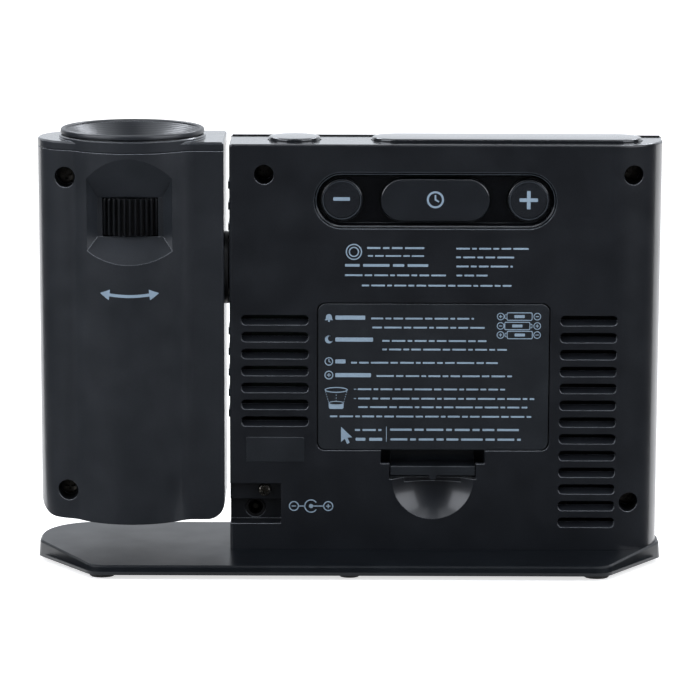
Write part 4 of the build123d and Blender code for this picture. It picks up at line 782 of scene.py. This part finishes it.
@dataclass
class Housing:
    """Display housing: shells, window, display and the boards inside."""

    screw_places: tuple[Point, ...] = ((21.6, 96.0), (-70.7, 96.0), (-70.7, 12.4))
    screw_depth: float = 10.0
    rim: float = 1.3            # band of the bezel behind the front face
    lip: float = 0.3            # height of the bezel's lip over the cover
    lip_soft: float = 0.08
    lip_inset: float = 0.3      # from both ends, and then from the front face
    lip_setback: float = 0.1
    seam_width: float = 0.35
    seam_ends: Point = (0.4, 0.3)       # what its line keeps from the foot and from the top

    def build(self) -> None:
        """Dress the housing, build its screws and draw its seam, whose shade is painted as a black
        line.
        """
        dress(HOUSING_ABS, "back_cover", "front_bezel", "battery_tray")
        dress(GLOSS_ABS, "key_surround")
        dress(SMOKED_ACRYLIC, "display_window")
        dress(LCD_GLASS, "lcd_panel")
        dress(SHADED_GUIDE_ACRYLIC, "light_guide")
        dress(SOLDER_MASK, "key_board", "top_board", "main_board")
        dress(SWITCH_NYLON, "key_switches", "top_switches")
        dress(BUZZER_PBT, "buzzer")
        dress(FERRITE, "antenna_rod")
        dress(COPPER_WIRE, "antenna_coil")
        Screw("housing_screw_heads", "clock", BLACK_ZINC, "housing_screws", self.screw_places,
              self.screw_depth).build()
        self.seam()

    def seam(self) -> None:
        """Stand the bezel's lip a hair above the cover, and paint the gap's shade down the end as a
        black line.
        """
        seam = FRONT_TOP - self.rim
        left, right = ENDS[0] + self.lip_inset, ENDS[1] - self.lip_inset
        front = self.lip_setback - FRONT_TOP
        lip = Shape()
        lip.loft([raised([(left + n, front + n), (right - n, front + n), (right - n, -seam - n),
                          (left + n, -seam - n)], HEIGHT + rise)
                  for rise, n in ((-self.lip, 0.0), (self.lip - self.lip_soft, 0.0),
                                  (self.lip, self.lip_soft))])
        lip.piece("bezel_lip", Face.UPRIGHT, GLOSS_ABS, "clock")
        # painted shade: a dead black film where the gap would lie in shade
        side = Print("end_seam_painted_shade", Face.END, "clock", finish=SHADOW_GAP)
        foot, head = self.seam_ends
        side.line([(FRONT_FOOT - self.rim, foot), (seam, HEIGHT - head)], self.seam_width)
        side.done()


@dataclass
class Keys:
    """The three keys in the rear recess and the two on the top."""

    rear: Point = (21.2, 89.6)          # middle of the rear keys on the back face
    offset: float = 23.35               # of the round keys from the middle one
    round_radius: float = 5.2
    rim_highlight: Point = (4.75, 0.13)      # radius and width of the painted highlight line round each round key
    set_size: Point = (8.3, 5.3)        # half straight part and radius
    seat: float = 3.5
    proud: float = 0.3
    top_row: float = 10.1
    top_keys: tuple[tuple[str, float, float], ...] = (
        ("alarm_button", -14.1, 0.0), ("snooze_bar", 39.3, 27.4))   # place and half straight part
    top_radius: float = 6.5
    top_proud: float = 1.05
    top_seat: float = 2.1
    # place, width and height of the bars of both signs, and the hands of the dial
    minus_bars: tuple[tuple[float, ...], ...] = ((-2.2, 89.9, 4.2, 0.9),)
    plus_bars: tuple[tuple[float, ...], ...] = (
        (44.5, 89.75, 4.6, 0.93), (44.5, 88.36, 0.93, 1.83), (44.5, 91.14, 0.93, 1.83))
    dial: tuple[Point, ...] = ((21.2, 90.95), (21.2, 89.77), (22.1, 89.25))
    band_straight: float = 23.25
    band_highlights: tuple[Point, ...] = ((7.1, 0.12), (6.58, 0.14))     # radius and width of each painted highlight line on the surround

    def build(self) -> None:
        """Build the keys, their symbols and the painted highlight lines round them."""
        for name, side in (("minus_button", -1), ("plus_button", 1)):
            Key(name, Face.BACK, (self.rear[0] + side * self.offset, self.rear[1]), 0.0,
                self.round_radius, -self.proud, -self.seat, crown=0.3, rim=0.22, chamfer=0.2,
                flange_wide=1.0).build()
        Key("set_button", Face.BACK, self.rear, *self.set_size, -self.proud, -self.seat,
            rim=0.35).build()
        for name, place, straight in self.top_keys:
            Key(name, Face.TOP, (place, self.top_row), straight, self.top_radius,
                HEIGHT + self.top_proud, HEIGHT - self.top_seat, rim=0.5, flange_wide=-0.6).build()
        self.symbols()
        self.paint_rim_highlights()

    def paint_rim_highlights(self) -> None:
        """Paint a thin grey highlight line round each rear key and two on the surround."""
        for name, side in (("minus_button", -1), ("plus_button", 1)):
            # painted highlight: a grey line on the key's chamfer, where light would glint
            ring = Print(f"{name}_rim", Face.BACK, name, -self.proud - 0.02, finish=RIM_HIGHLIGHT_PAINT)
            ring.circle((self.rear[0] + side * self.offset, self.rear[1]), *self.rim_highlight)
            ring.done()
        band = Print("surround_rim_highlights", Face.BACK, "clock", finish=RIM_HIGHLIGHT_PAINT)
        for radius, width in self.band_highlights:
            band.line(stadium(self.rear, self.band_straight, radius), width, closed=True)
        band.done()

    def symbols(self) -> None:
        """Print the plain symbols on the keys."""
        for name, bars in (("minus", self.minus_bars), ("plus", self.plus_bars)):
            mark = Print(f"{name}_mark", Face.BACK, f"{name}_button", -self.proud)
            for x, z, width, height in bars:
                mark.bar((x, z), width, height)
            mark.done()
        dial = Print("set_mark", Face.BACK, "set_button", -self.proud)
        dial.circle(self.dial[1], 1.9, 0.5)
        dial.line(self.dial, 0.42)
        dial.done()


@dataclass
class Tower:
    """Projector tower: shells, cap, shroud, screws and pivot."""

    bulge: float = 18.45
    shroud_radius: float = 18.1
    shroud_top: float = 106.4
    rim_foot: float = 105.1
    # the rim's section: steps out from its radius and up, from its foot and then from its top
    foot_steps: tuple[Point, ...] = ((-0.15, 0.0), (0.0, 0.15))
    lip_steps: tuple[Point, ...] = (
        (0.0, -0.62), (-0.1, -0.3), (-0.3, -0.1), (-0.6, 0.0), (-0.9, -0.04), (-1.15, -0.2),
        (-1.3, -0.5))
    neck: float = 0.3
    neck_radius: float = 17.0
    skirt: float = 15.6
    throat: float = 7.0
    throat_z: float = 98.5
    throat_wall: float = 2.2
    skirt_drop: float = 1.1
    steepening: float = 1.12    # power by which the funnel's wall rises
    ridges: int = 20
    ridge: float = 0.07         # depth of the grooves between them
    screw_x: float = 71.3
    screw_z: tuple[float, float] = (95.1, 15.2)
    screw_depth: float = 8.0
    mark_z: float = 66.15       # level of the double arrow, its shaft and its bow
    mark_shaft: float = 0.75
    mark_bow: float = 0.012

    def build(self) -> None:
        """Dress the tower and build the pieces that show detail."""
        dress(TOWER_ABS, "tower_rear_shell", "tower_front_shell", "tower_cap")
        dress(TUBE_PC, "pivot_hub", "pivot_retainer", "lens_tube")
        dress(SPRING_STEEL, "friction_washer")
        dress(SOLDER_MASK, "led_board")
        dress(PHOSPHOR, "projector_led")
        dress(LENS_ACRYLIC, "condenser_lens", "projection_lens")
        dress(LCD_GLASS, "image_panel")
        Screw("tower_screw_heads", "projector_tower", BLACK_ZINC, "tower_screws",
              [(self.screw_x, z) for z in self.screw_z], self.screw_depth).build()
        self.shroud()
        self.rotate_mark()

    def shroud(self) -> None:
        """Turn the funnel with its anti-glare ridges and its rim."""
        foot, neck = self.rim_foot, self.rim_foot - self.neck
        profile = [(self.skirt, neck), (self.neck_radius, neck), (self.neck_radius, foot)]
        for steps, level in ((self.foot_steps, foot), (self.lip_steps, self.shroud_top)):
            profile += [(self.shroud_radius + out, level + up) for out, up in steps]
        mouth, top = profile[-1]
        pitch = (mouth - self.throat) / self.ridges
        for n in range(self.ridges):
            for share, drop in ((0.15, self.ridge), (0.5, 0.0), (0.85, 0.0)):
                radius = mouth - pitch * (n + share)
                rise = ((radius - self.throat) / (mouth - self.throat)) ** self.steepening
                profile.append((radius, self.throat_z + (top - self.throat_z) * rise - drop))
        profile += [(self.throat, self.throat_z), (self.throat + self.throat_wall, self.throat_z),
                    (self.skirt, neck - self.skirt_drop)]
        shape = Shape()
        shape.lathe(profile, BARREL, 160)
        shape.piece("ridged_shroud", Face.UPRIGHT, SHROUD_PC, "projector_tower",
                    replaces="lens_shroud")

    def rotate_mark(self) -> None:
        """Print a double arrow below the thumbwheel, round the bulge."""
        mark = Print("turn_mark", Face.BACK, "projector_tower", bend=self.wrap)
        half = [(7.3, 0.1), (6.6, 0.9), (5.8, 1.8), (5.0, 2.7)]     # place and width of the head
        half += [(x, self.mark_shaft) for x in (4.95, 3.8, 2.5, 1.2)]
        run = [(-x, wide) for x, wide in half] + [(0.0, self.mark_shaft)] + half[::-1]
        mark.line([(x - BARREL[0], self.mark_z + x * x * self.mark_bow) for x, _ in run],
                  [wide for _, wide in run])
        mark.done()

    def wrap(self, point: Vector) -> Vector:
        """Carry a point of the back face out to the round wall of the bulge."""
        out = math.sqrt(self.bulge ** 2 - (point.x - BARREL[0]) ** 2)
        return Vector((point.x, BARREL[1] + out + point.y, point.z))


@dataclass
class Thumbwheel:
    """Ribbed wheel that turns the picture: rim, web and hub."""

    foot: float = 80.5
    top: float = 89.8
    radius: float = 13.3
    ribs: int = 60
    rib: tuple[float, ...] = (-0.5, -0.2, -0.15, -0.07, 0.07, 0.15, 0.2)   # places, in pitches
    groove: float = 1.25
    soft: float = 0.3           # chamfer of the rim, and fall of a rib's shoulders
    shoulder: float = 0.2
    rim_inside: float = 11.0
    hub: float = 9.4
    bore: float = 8.05
    web: float = 1.4

    def build(self) -> None:
        """Loft the wheel round its ribs, its bore and the pocket below its web."""
        low, high, pocket = self.foot, self.top, self.top - self.web
        gears = ((self.soft, low), (0.0, low + self.soft), (0.0, high - self.soft),
                 (self.soft, high))
        rings = ((self.bore, high), (self.bore, low), (self.hub, low), (self.hub, pocket),
                 (self.rim_inside, pocket), (self.rim_inside, low))
        shape = Shape()
        shape.loft([self.gear(inset, height) for inset, height in gears]
                   + [self.ring([radius] * len(self.rib), height) for radius, height in rings],
                   closed=True)
        shape.piece("ribbed_wheel", Face.UPRIGHT, WHEEL_NYLON, "rotating_optics",
                    replaces="rotation_wheel")

    def gear(self, inset: float, height: float) -> Ring:
        """Outline of the ribs.

        Args:
            inset: how far their crests are drawn in.
            height: its height.

        Returns:
            The ring.
        """
        low, tall = self.radius - self.groove, self.radius - inset
        side = tall - self.shoulder
        return self.ring((low, low, side, tall, tall, side, low), height)

    def ring(self, radii: Sequence[float], height: float) -> Ring:
        """Ring with these radii at the places of each rib."""
        return [(*spot(BARREL, radius, math.tau * (n + share) / self.ribs), height)
                for n in range(self.ribs) for radius, share in zip(radii, self.rib)]


@dataclass
class BackMarks:
    """Prints of the back: rows of plain dashes in place of words, and plain pictograms."""

    # rows of dashes: start, end, level, and height where it is not the usual one
    block: tuple[tuple[float, ...], ...] = (
        (4.2, 18.6, 77.6, 0.62), (4.4, 18.6, 75.6, 0.5), (-1.3, 21.1, 73.2, 0.85),
        (-1.3, 24.0, 70.7), (2.9, 40.4, 68.1), (26.5, 44.6, 77.5), (26.5, 41.0, 75.3),
        (26.6, 40.7, 73.0), (26.6, 34.4, 70.7))
    guide: tuple[tuple[float, ...], ...] = (
        (5.3, 31.1, 59.7), (5.6, 33.8, 57.4), (8.1, 34.3, 54.0), (8.1, 39.5, 51.8),
        (0.3, 37.2, 48.4), (6.7, 41.6, 45.0), (2.0, 39.1, 41.6), (2.1, 46.5, 39.2),
        (2.1, 45.4, 37.0), (-5.0, 45.8, 34.6), (1.3, 8.0, 31.1, 0.62), (1.5, 8.2, 28.7, 0.95),
        (10.2, 43.3, 31.2, 0.7), (10.3, 43.2, 28.7, 0.7))
    heads: tuple[Point, ...] = ((3.8, 59.9), (5.8, 54.3), (-1.1, 48.7), (5.3, 45.2))  # end, level
    cells: tuple[tuple[float, float, int], ...] = (         # middle, level and side of the nub
        (42.55, 60.3, -1), (42.0, 57.9, 1), (42.65, 55.6, -1))
    poles: Point = (37.8, 47.0)
    key_column: float = -5.3            # middle of the pictograms beside the heads
    beam_x: float = -3.45
    rings: tuple[float, ...] = (0.9, 76.6, 1.9, 1.15, 0.3)  # middle, radii and width
    label: tuple[float, ...] = (-18.85, 26.0, 14.7, 6.4, 0.5)       # middle, size and corner
    label_rise: float = 0.06
    socket: Point = (-9.75, 11.35)      # middle of the plug's polarity, its rings and its lines
    socket_poles: Point = (-14.1, -5.4)
    socket_radii: tuple[float, ...] = (1.15, 1.6, 0.55)     # of the poles, the sleeve and the pin
    socket_lines: tuple[Point, ...] = ((-12.8, -11.5), (-9.3, -6.7))
    socket_line: float = 0.28
    sleeve_line: float = 0.3

    def build(self) -> None:
        """Print the block, the guide on the door and the plug's polarity."""
        block = Print("block_marks", Face.BACK, "clock")
        for n, row in enumerate(self.block):
            block.words(*row, first=n)
        x, z, *radii, width = self.rings
        for radius in radii:
            block.circle((x, z), radius, width)
        block.done()
        self.door()
        self.plug()
        flat = Shape()
        x, z, *size = self.label
        flat.prism(round_box((x, z), *size), 0.0, self.label_rise)
        flat.piece("label_flat", Face.BACK, DOOR_ABS, "clock")

    def door(self) -> None:
        """Print the guide on the battery door."""
        guide = Print("guide_marks", Face.BACK, "battery_door")
        for n, row in enumerate(self.guide):
            guide.words(*row, first=2 * n)
        x = self.key_column
        for end, level in self.heads:
            guide.bar(((x + 1.6 + end) / 2, level), end - x - 1.6, 1.05)
        for _, _, level in self.guide[6:8]:
            guide.bar((1.3, level), 0.6, 0.2)
        bell, moon, dial, plus = (level for _, level in self.heads)
        guide.patch(arc((x, bell + 0.15), 0.75, 0, 180, 10) + [
            (x - 0.8, bell - 0.4), (x - 1.1, bell - 0.65), (x + 1.1, bell - 0.65),
            (x + 0.8, bell - 0.4)])
        guide.patch(arc((x, bell - 0.85), 0.26, 0, 330, 11))
        guide.patch(arc((x, moon), 1.0, 60, 330, 18)
                    + arc((x + 0.52, moon + 0.28), 0.78, 305, 95, 14))
        guide.circle((x, dial), 0.95, 0.25)
        guide.line([(x, dial + 0.6), (x, dial), (x + 0.45, dial - 0.25)], 0.22)
        guide.pole((x, plus), 1.0, True)
        for middle, level, nub in self.cells:
            guide.line(round_box((middle, level), 6.3, 1.9, 0.3, 3), 0.22, closed=True)
            guide.line(round_box((middle + nub * 3.45, level), 0.5, 0.9, 0.12, 2), 0.18,
                       closed=True)
            guide.bar((middle, level), 2.6, 0.75)
            for place, side in zip(self.poles, (-1, 1)):
                guide.pole((place, level), 0.85, nub == side)
        self.beam(guide)
        # cursor, and the rule beside the last rows
        guide.patch([(-2.2, 31.9), (-2.2, 28.0), (-1.25, 28.8), (-0.65, 27.5), (0.0, 27.8),
                     (-0.6, 29.1), (0.6, 29.2)])
        guide.line([(9.25, 28.1), (9.25, 32.0)], 0.16)
        guide.done()

    def beam(self, guide: Print) -> None:
        """Print the projector: a dashed beam that widens upwards from its lamp.

        Args:
            guide: the print that it joins.
        """
        x = self.beam_x
        guide.circle((x, 41.4), 2.8, 0.24, 0.22)
        for side in (-1, 1):
            for n in range(5):
                guide.line([(x + side * (1.9 + 0.85 * t), 38.2 + 3.0 * t)
                            for t in ((n + 0.2) / 5, (n + 0.65) / 5)], 0.14)
        for n in range(4):
            guide.line([(x, 38.4 + 0.72 * n), (x, 38.75 + 0.72 * n)], 0.14)
        guide.circle((x, 38.0), 1.85, 0.18, 0.24)
        bowl = [(u, 37.9 + (v - 37.9) * 0.24) for u, v in arc((x, 37.9), 1.9, 180, 360, 12)]
        guide.patch(bowl + [(-1.6, 36.8), (-1.9, 36.5), (-5.0, 36.5), (-5.3, 36.8)])

    def plug(self) -> None:
        """Print the polarity of the plug beside the inlet."""
        mark, (x, level) = Print("plug_mark", Face.BACK, "clock"), self.socket
        pole, sleeve, pin = self.socket_radii
        outer, inner = ([(end, level) for end in ends] for ends in self.socket_lines)
        for place, plus in zip(self.socket_poles, (False, True)):
            mark.pole((place, level), pole, plus)
        mark.line(outer, self.socket_line)
        mark.line(arc((x, level), sleeve, 35, 325, 20), self.sleeve_line)
        mark.patch(arc((x, level), pin, 0, 330, 11))
        mark.line(inner, self.socket_line)
        mark.done()


# ends of the lit segments of a figure, by corner: 0 1 at the top, 2 3 half way, 4 5 at the foot
SEGMENTS = {"0": "01 02 13 24 35 45", "1": "13 35", "2": "01 13 23 24 45", "4": "02 23 13 35",
            "6": "01 02 23 24 35 45", "8": "01 02 13 23 24 35 45"}


@dataclass
class Display:
    """Lit figures on the panel behind the smoked window."""

    panel: float = -2.6                 # face of the panel, behind the face of the bezel
    middle: float = -24.5
    clock_level: float = 67.0
    small_level: float = 33.5
    # figures, place of the first from the middle, and step to the next
    clock_rows: tuple[tuple[str, float, float], ...] = (("10", -28.5, 18.5), ("08", 10.0, 18.5))
    small_rows: tuple[tuple[str, float, float], ...] = (("24", -27.0, 11.0), ("68", 15.0, 11.0))
    clock_tall: float = 26.0
    small_tall: float = 15.0
    dots: tuple[float, ...] = (0.5, 5.5, 2.6)       # half steps between them, and their size
    rule: tuple[float, ...] = (36.0, 47.5, 0.4)     # half length, level and width
    degree: tuple[float, ...] = (34.0, 39.8, 1.5, 0.6)      # place, level, radius and width
    slant: float = 0.1
    shares: tuple[float, ...] = (0.5, 0.12, 0.012)  # width, stroke and gap, in the height

    def build(self) -> None:
        """Light the time, and a day and month below it."""
        lit = Print("lit_figures", Face.FRONT, "clock", self.panel, finish=SEGMENT)
        for rows, level, tall in ((self.clock_rows, self.clock_level, self.clock_tall),
                                  (self.small_rows, self.small_level, self.small_tall)):
            for digits, start, step in rows:
                for n, digit in enumerate(digits):
                    self.figure(lit, digit, (self.middle + start + step * n, level), tall)
        for side in (-1, 1):
            lit.bar((self.middle + side * self.dots[0], self.clock_level + side * self.dots[1]),
                    self.dots[2], self.dots[2])
        half, level, width = self.rule
        lit.line([(self.middle - half, level), (self.middle + half, level)], width)
        place, level, radius, width = self.degree
        lit.circle((self.middle + place, level), radius, width)
        lit.done()

    def figure(self, lit: Print, digit: str, centre: Point, tall: float) -> None:
        """Light one figure of seven segments.

        Args:
            lit: the print that it joins.
            digit: the figure.
            centre: its middle.
            tall: its height.
        """
        wide, thick, gap = (tall * share for share in self.shares)
        h = thick / 2
        for ends in SEGMENTS[digit].split():
            (x0, y0), (x1, y1) = (((n % 2 - 0.5) * wide, (1 - n // 2) * tall / 2)
                                  for n in map(int, ends))
            dx, dy = (1, 0) if y0 == y1 else (0, -1)
            x0, y0, x1, y1 = x0 + dx * gap, y0 + dy * gap, x1 - dx * gap, y1 - dy * gap
            outline = [(x0, y0), (x0 + dx * h - dy * h, y0 + dy * h + dx * h),
                       (x1 - dx * h - dy * h, y1 - dy * h + dx * h), (x1, y1),
                       (x1 - dx * h + dy * h, y1 - dy * h - dx * h),
                       (x0 + dx * h + dy * h, y0 + dy * h - dx * h)]
            lit.patch([(centre[0] + x + y * self.slant, centre[1] + y) for x, y in outline])


@dataclass
class BatteryBay:
    """Door, contacts and springs."""

    middle: tuple[float, float, float] = (-21.0, -7.3, 44.75)
    half: float = 25.3
    pitch: float = 10.9                 # from cell to cell
    rows: tuple[tuple[int, int], ...] = ((1, -1), (0, 1), (-1, -1))     # cell, side of its spring
    contact: float = 0.4
    coil_radius: tuple[float, float] = (3.6, 2.0)
    coil_length: float = 4.4
    coil_turns: float = 4.25
    turn_steps: int = 20
    wire: float = 0.32

    def build(self) -> None:
        """Dress the bay and wind its conical springs."""
        dress(DOOR_ABS, "battery_door")
        dress(SPRING_STEEL, "battery_contacts")
        x, y, z = self.middle
        wide, narrow = self.coil_radius
        steps = int(self.coil_turns * self.turn_steps)
        shape = Shape()
        for row, side in self.rows:
            seat = x + side * (self.half - self.contact - self.wire)
            shape.tube([Vector((seat - side * self.coil_length * n / steps,
                                *spot((y, z + row * self.pitch), wide + (narrow - wide) * n / steps,
                                      math.tau * self.coil_turns * n / steps)))
                        for n in range(steps + 1)], self.wire)
        shape.piece("coil_springs", Face.UPRIGHT, SPRING_STEEL, "clock",
                    replaces="battery_springs")


@dataclass
class PowerInlet:
    """Jack, centre pin and the screw in the recess above them."""

    screw_place: Point = (21.6, 15.0)
    screw_depth: float = 3.0

    def build(self) -> None:
        """Dress the jack and build the bright screw."""
        dress(JACK_NYLON_SHADED, "power_jack")
        dress(PIN_PAINTED_SHADE, "jack_pin")
        Screw("inlet_screw_head", "clock", NICKEL, "inlet_screw", [self.screw_place],
              self.screw_depth, head=1.65, cross=2.0, cross_width=0.5).build()


# ------------------------ studio
LAMP_WHITE = "#F3F7FF"          # both a touch cooler than the white that the camera sees
GLOSS_WHITE = "#F3F8FF"
AIM = Vector((0, 0, 0.055))     # middle of the clock


@dataclass(frozen=True)
class Softbox:
    """Soft lamp aimed at the clock."""

    name: str
    place: tuple[float, float, float]
    width: float
    height: float
    watts: float

    def build(self) -> None:
        """Hang the lamp."""
        data = bpy.data.lights.new(self.name, "AREA")
        data.shape = "RECTANGLE"
        data.size = self.width
        data.size_y = self.height
        data.energy = self.watts
        data.color = linear(LAMP_WHITE)[:3]
        lamp = put(self.name, data)
        lamp.location = self.place
        lamp.rotation_euler = (AIM - Vector(self.place)).to_track_quat("-Z", "Y").to_euler()
        lamp.visible_camera = False


def looked_at(tree: bpy.types.NodeTree) -> bpy.types.NodeSocket:
    """1 for rays from the camera, off gloss and through glass.

    Args:
        tree: tree of the material or world.

    Returns:
        The factor.
    """
    ray = add(tree, "LightPath").outputs
    first = add(tree, "Math", {0: ray["Is Camera Ray"], 1: ray["Is Glossy Ray"]},
                operation="MAXIMUM")
    return add(tree, "Math", {0: first, 1: ray["Is Transmission Ray"]},
               operation="MAXIMUM").outputs[0]


def matt(name: str, cells: float, tones: Point, lift: float = 0.0) -> bpy.types.Material:
    """Matt paper or felt, its fibres drawn as a faint noise.

    Args:
        name: name of the material.
        cells: clumps of fibres across the sheet.
        tones: reflectance between the fibres and on them.
        lift: light that brings what is looked at to plain white.

    Returns:
        The material.
    """
    made = blank(name)
    tree = made.node_tree
    fibre = add(tree, "TexNoise", {"Scale": cells, "Detail": 2.0})
    tone = add(tree, "MapRange", {0: fibre, "To Min": tones[0], "To Max": tones[1]})
    shade = add(tree, "BsdfDiffuse", {"Color": tone})
    if lift:
        bright = add(tree, "AddShader", {0: shade, 1: add(tree, "Emission", {"Strength": lift})})
        shade = add(tree, "MixShader", {0: looked_at(tree), 1: shade, 2: bright})
    add(tree, "OutputMaterial", {"Surface": shade})
    return made


def sheets(name: str, faces: Sequence[Ring], stuff: bpy.types.Material) -> bpy.types.Object:
    """Hang flat sheets round the clock.

    Args:
        name: name of the object.
        faces: corners of each sheet.
        stuff: its material.

    Returns:
        The object, on the stage.
    """
    numbers = iter(range(sum(len(face) for face in faces)))
    mesh = bpy.data.meshes.new(name)
    mesh.from_pydata([corner for face in faces for corner in face], [],
                     [[next(numbers) for _ in face] for face in faces])
    mesh.materials.append(stuff)
    made = put(name, mesh)
    return made


@dataclass(frozen=True)
class Studio:
    """White sweep, soft lamps and the camera."""

    floor_half: float = 12.0
    paper: Point = (0.86, 0.9)          # reflectance between the fibres and on them
    paper_lift: float = 0.65            # brings the paper that is looked at to plain white
    felt: Point = (0.01, 0.03)
    flag_lift: float = 0.002            # height of the flags above the floor
    flag_far: float = 2.6
    flag_half: float = 2.0
    flag_tall: float = 2.2
    flag_sides: Point = (-2.0, -1.0)    # how far back the flags reach on both sides
    flag_turn: Point = (0.1, -0.078)    # where the floor flag turns back beside the clock
    roof: tuple[float, float, float] = (0.35, -0.7, 1.9)    # half width, far edge and height
    dim: float = 0.22                   # the world on the camera's side
    dim_from: Point = (-0.15, 0.35)
    distance: float = 862.5
    elevation: float = 0.183877         # radians above the body frame's level
    roll: float = 0.0031059
    aim: float = 51.631                 # height of the point that it looks at
    lens: float = 176.381
    lamps: tuple[Softbox, ...] = (
        Softbox("left_softbox", (1.3, 0.8, 0.68), 1.5, 0.9, 14.6),
        Softbox("right_softbox", (-1.3, 0.8, 0.68), 1.5, 0.9, 13.2),
        Softbox("left_kicker", (0.8, -1.05, 1.35), 0.5, 0.5, 8.0),
        Softbox("right_kicker", (-0.8, -1.05, 1.35), 0.5, 0.5, 8.0),
        Softbox("edge_strip", (0.0, 0.75, 1.5), 1.6, 0.1, 5.0))

    def build(self) -> None:
        """Set up the studio."""
        self.floor()
        self.flags()
        self.world()
        for lamp in self.lamps:
            lamp.build()
        self.camera()
        bpy.context.scene.view_settings.view_transform = "Standard"

    def floor(self) -> None:
        """Lay a paper sweep that keeps the clock's soft shadow and looks plain white."""
        half = self.floor_half
        sheets("floor", [raised([(-half, -half), (half, -half), (half, half), (-half, half)], 0)],
               matt("matt_paper_sweep", 400.0, self.paper, self.paper_lift))

    def flags(self) -> None:
        """Hang black felt on the camera's side, which only gloss on the clock sees."""
        half, far, low, tall = self.flag_half, self.flag_far, self.flag_lift, self.flag_tall
        left, right = self.flag_sides
        wide, back, high = self.roof
        faces = [raised([(self.flag_turn[0], 0), (half, left), (half, far), (-half, far),
                         (-half, right), (self.flag_turn[1], 0)], low)]
        faces += [[(*a, low), (*b, low), (*b, tall), (*a, tall)] for a, b in (
            ((-half, far), (half, far)), ((half, far), (half, left)),
            ((-half, far), (-half, right)))]
        faces.append(raised([(wide, far), (-wide, far), (-wide, back), (wide, back)], high))
        made = sheets("black_flags", faces, matt("black_felt", 300.0, self.felt))
        made.visible_camera = made.visible_diffuse = False
        made.visible_shadow = made.visible_transmission = False

    def world(self) -> None:
        """White all round the back, darker on the camera's side, and plain white where seen."""
        world = bpy.data.worlds.new("sweep")
        world.use_nodes = True
        tree = world.node_tree
        tree.nodes.clear()
        way = add(tree, "SeparateXYZ", {0: add(tree, "TexCoord").outputs["Generated"]})
        side = add(tree, "MapRange", {
            0: way.outputs[1], "From Min": self.dim_from[0], "From Max": self.dim_from[1],
            "To Min": 1.0, "To Max": self.dim}, interpolation_type="SMOOTHSTEP")
        studio = add(tree, "Background", {"Color": side, "Strength": 1.0})
        # the sweep is lit by daylight: gloss picks it up a touch cooler than the camera does
        glossy = add(tree, "LightPath").outputs["Is Glossy Ray"]
        daylight = add(tree, "Mix", {0: glossy, 6: linear("#FFFFFF"), 7: linear(GLOSS_WHITE)},
                       data_type="RGBA").outputs[2]
        white = add(tree, "Background", {"Color": daylight, "Strength": 1.0})
        pick = add(tree, "MixShader", {0: looked_at(tree), 1: studio, 2: white})
        add(tree, "OutputWorld", {"Surface": pick})
        bpy.context.scene.world = world

    def camera(self) -> None:
        """Stand the camera behind the clock, a little above it."""
        cos, sin = math.cos(self.elevation), math.sin(self.elevation)
        out, right, up = Vector((0, cos, sin)), Vector((-1, 0, 0)), Vector((0, -sin, cos))
        cos, sin = math.cos(self.roll), math.sin(self.roll)
        turn = Matrix((right * cos + up * sin, up * cos - right * sin, out)).transposed().to_4x4()
        place = STANCE @ (Vector((0, 0, self.aim)) + out * self.distance)
        data = bpy.data.cameras.new("camera")
        data.lens = self.lens
        data.clip_end = 50.0
        camera = put("camera", data)
        lean = STANCE.to_3x3().normalized().to_4x4()
        camera.matrix_world = Matrix.Translation(place) @ lean @ turn
        bpy.context.scene.camera = camera


def main() -> None:
    """Build the clock piece by piece, then the studio."""
    logging.basicConfig(level=logging.INFO, format="%(message)s")
    for part in (BasePlate(), Housing(), Display(), BackMarks(), Keys(), Tower(), Thumbwheel(),
                 BatteryBay(), PowerInlet(), Studio()):
        log.info("-- %s", type(part).__name__)
        part.build()


if __name__ == "__main__":
    main()
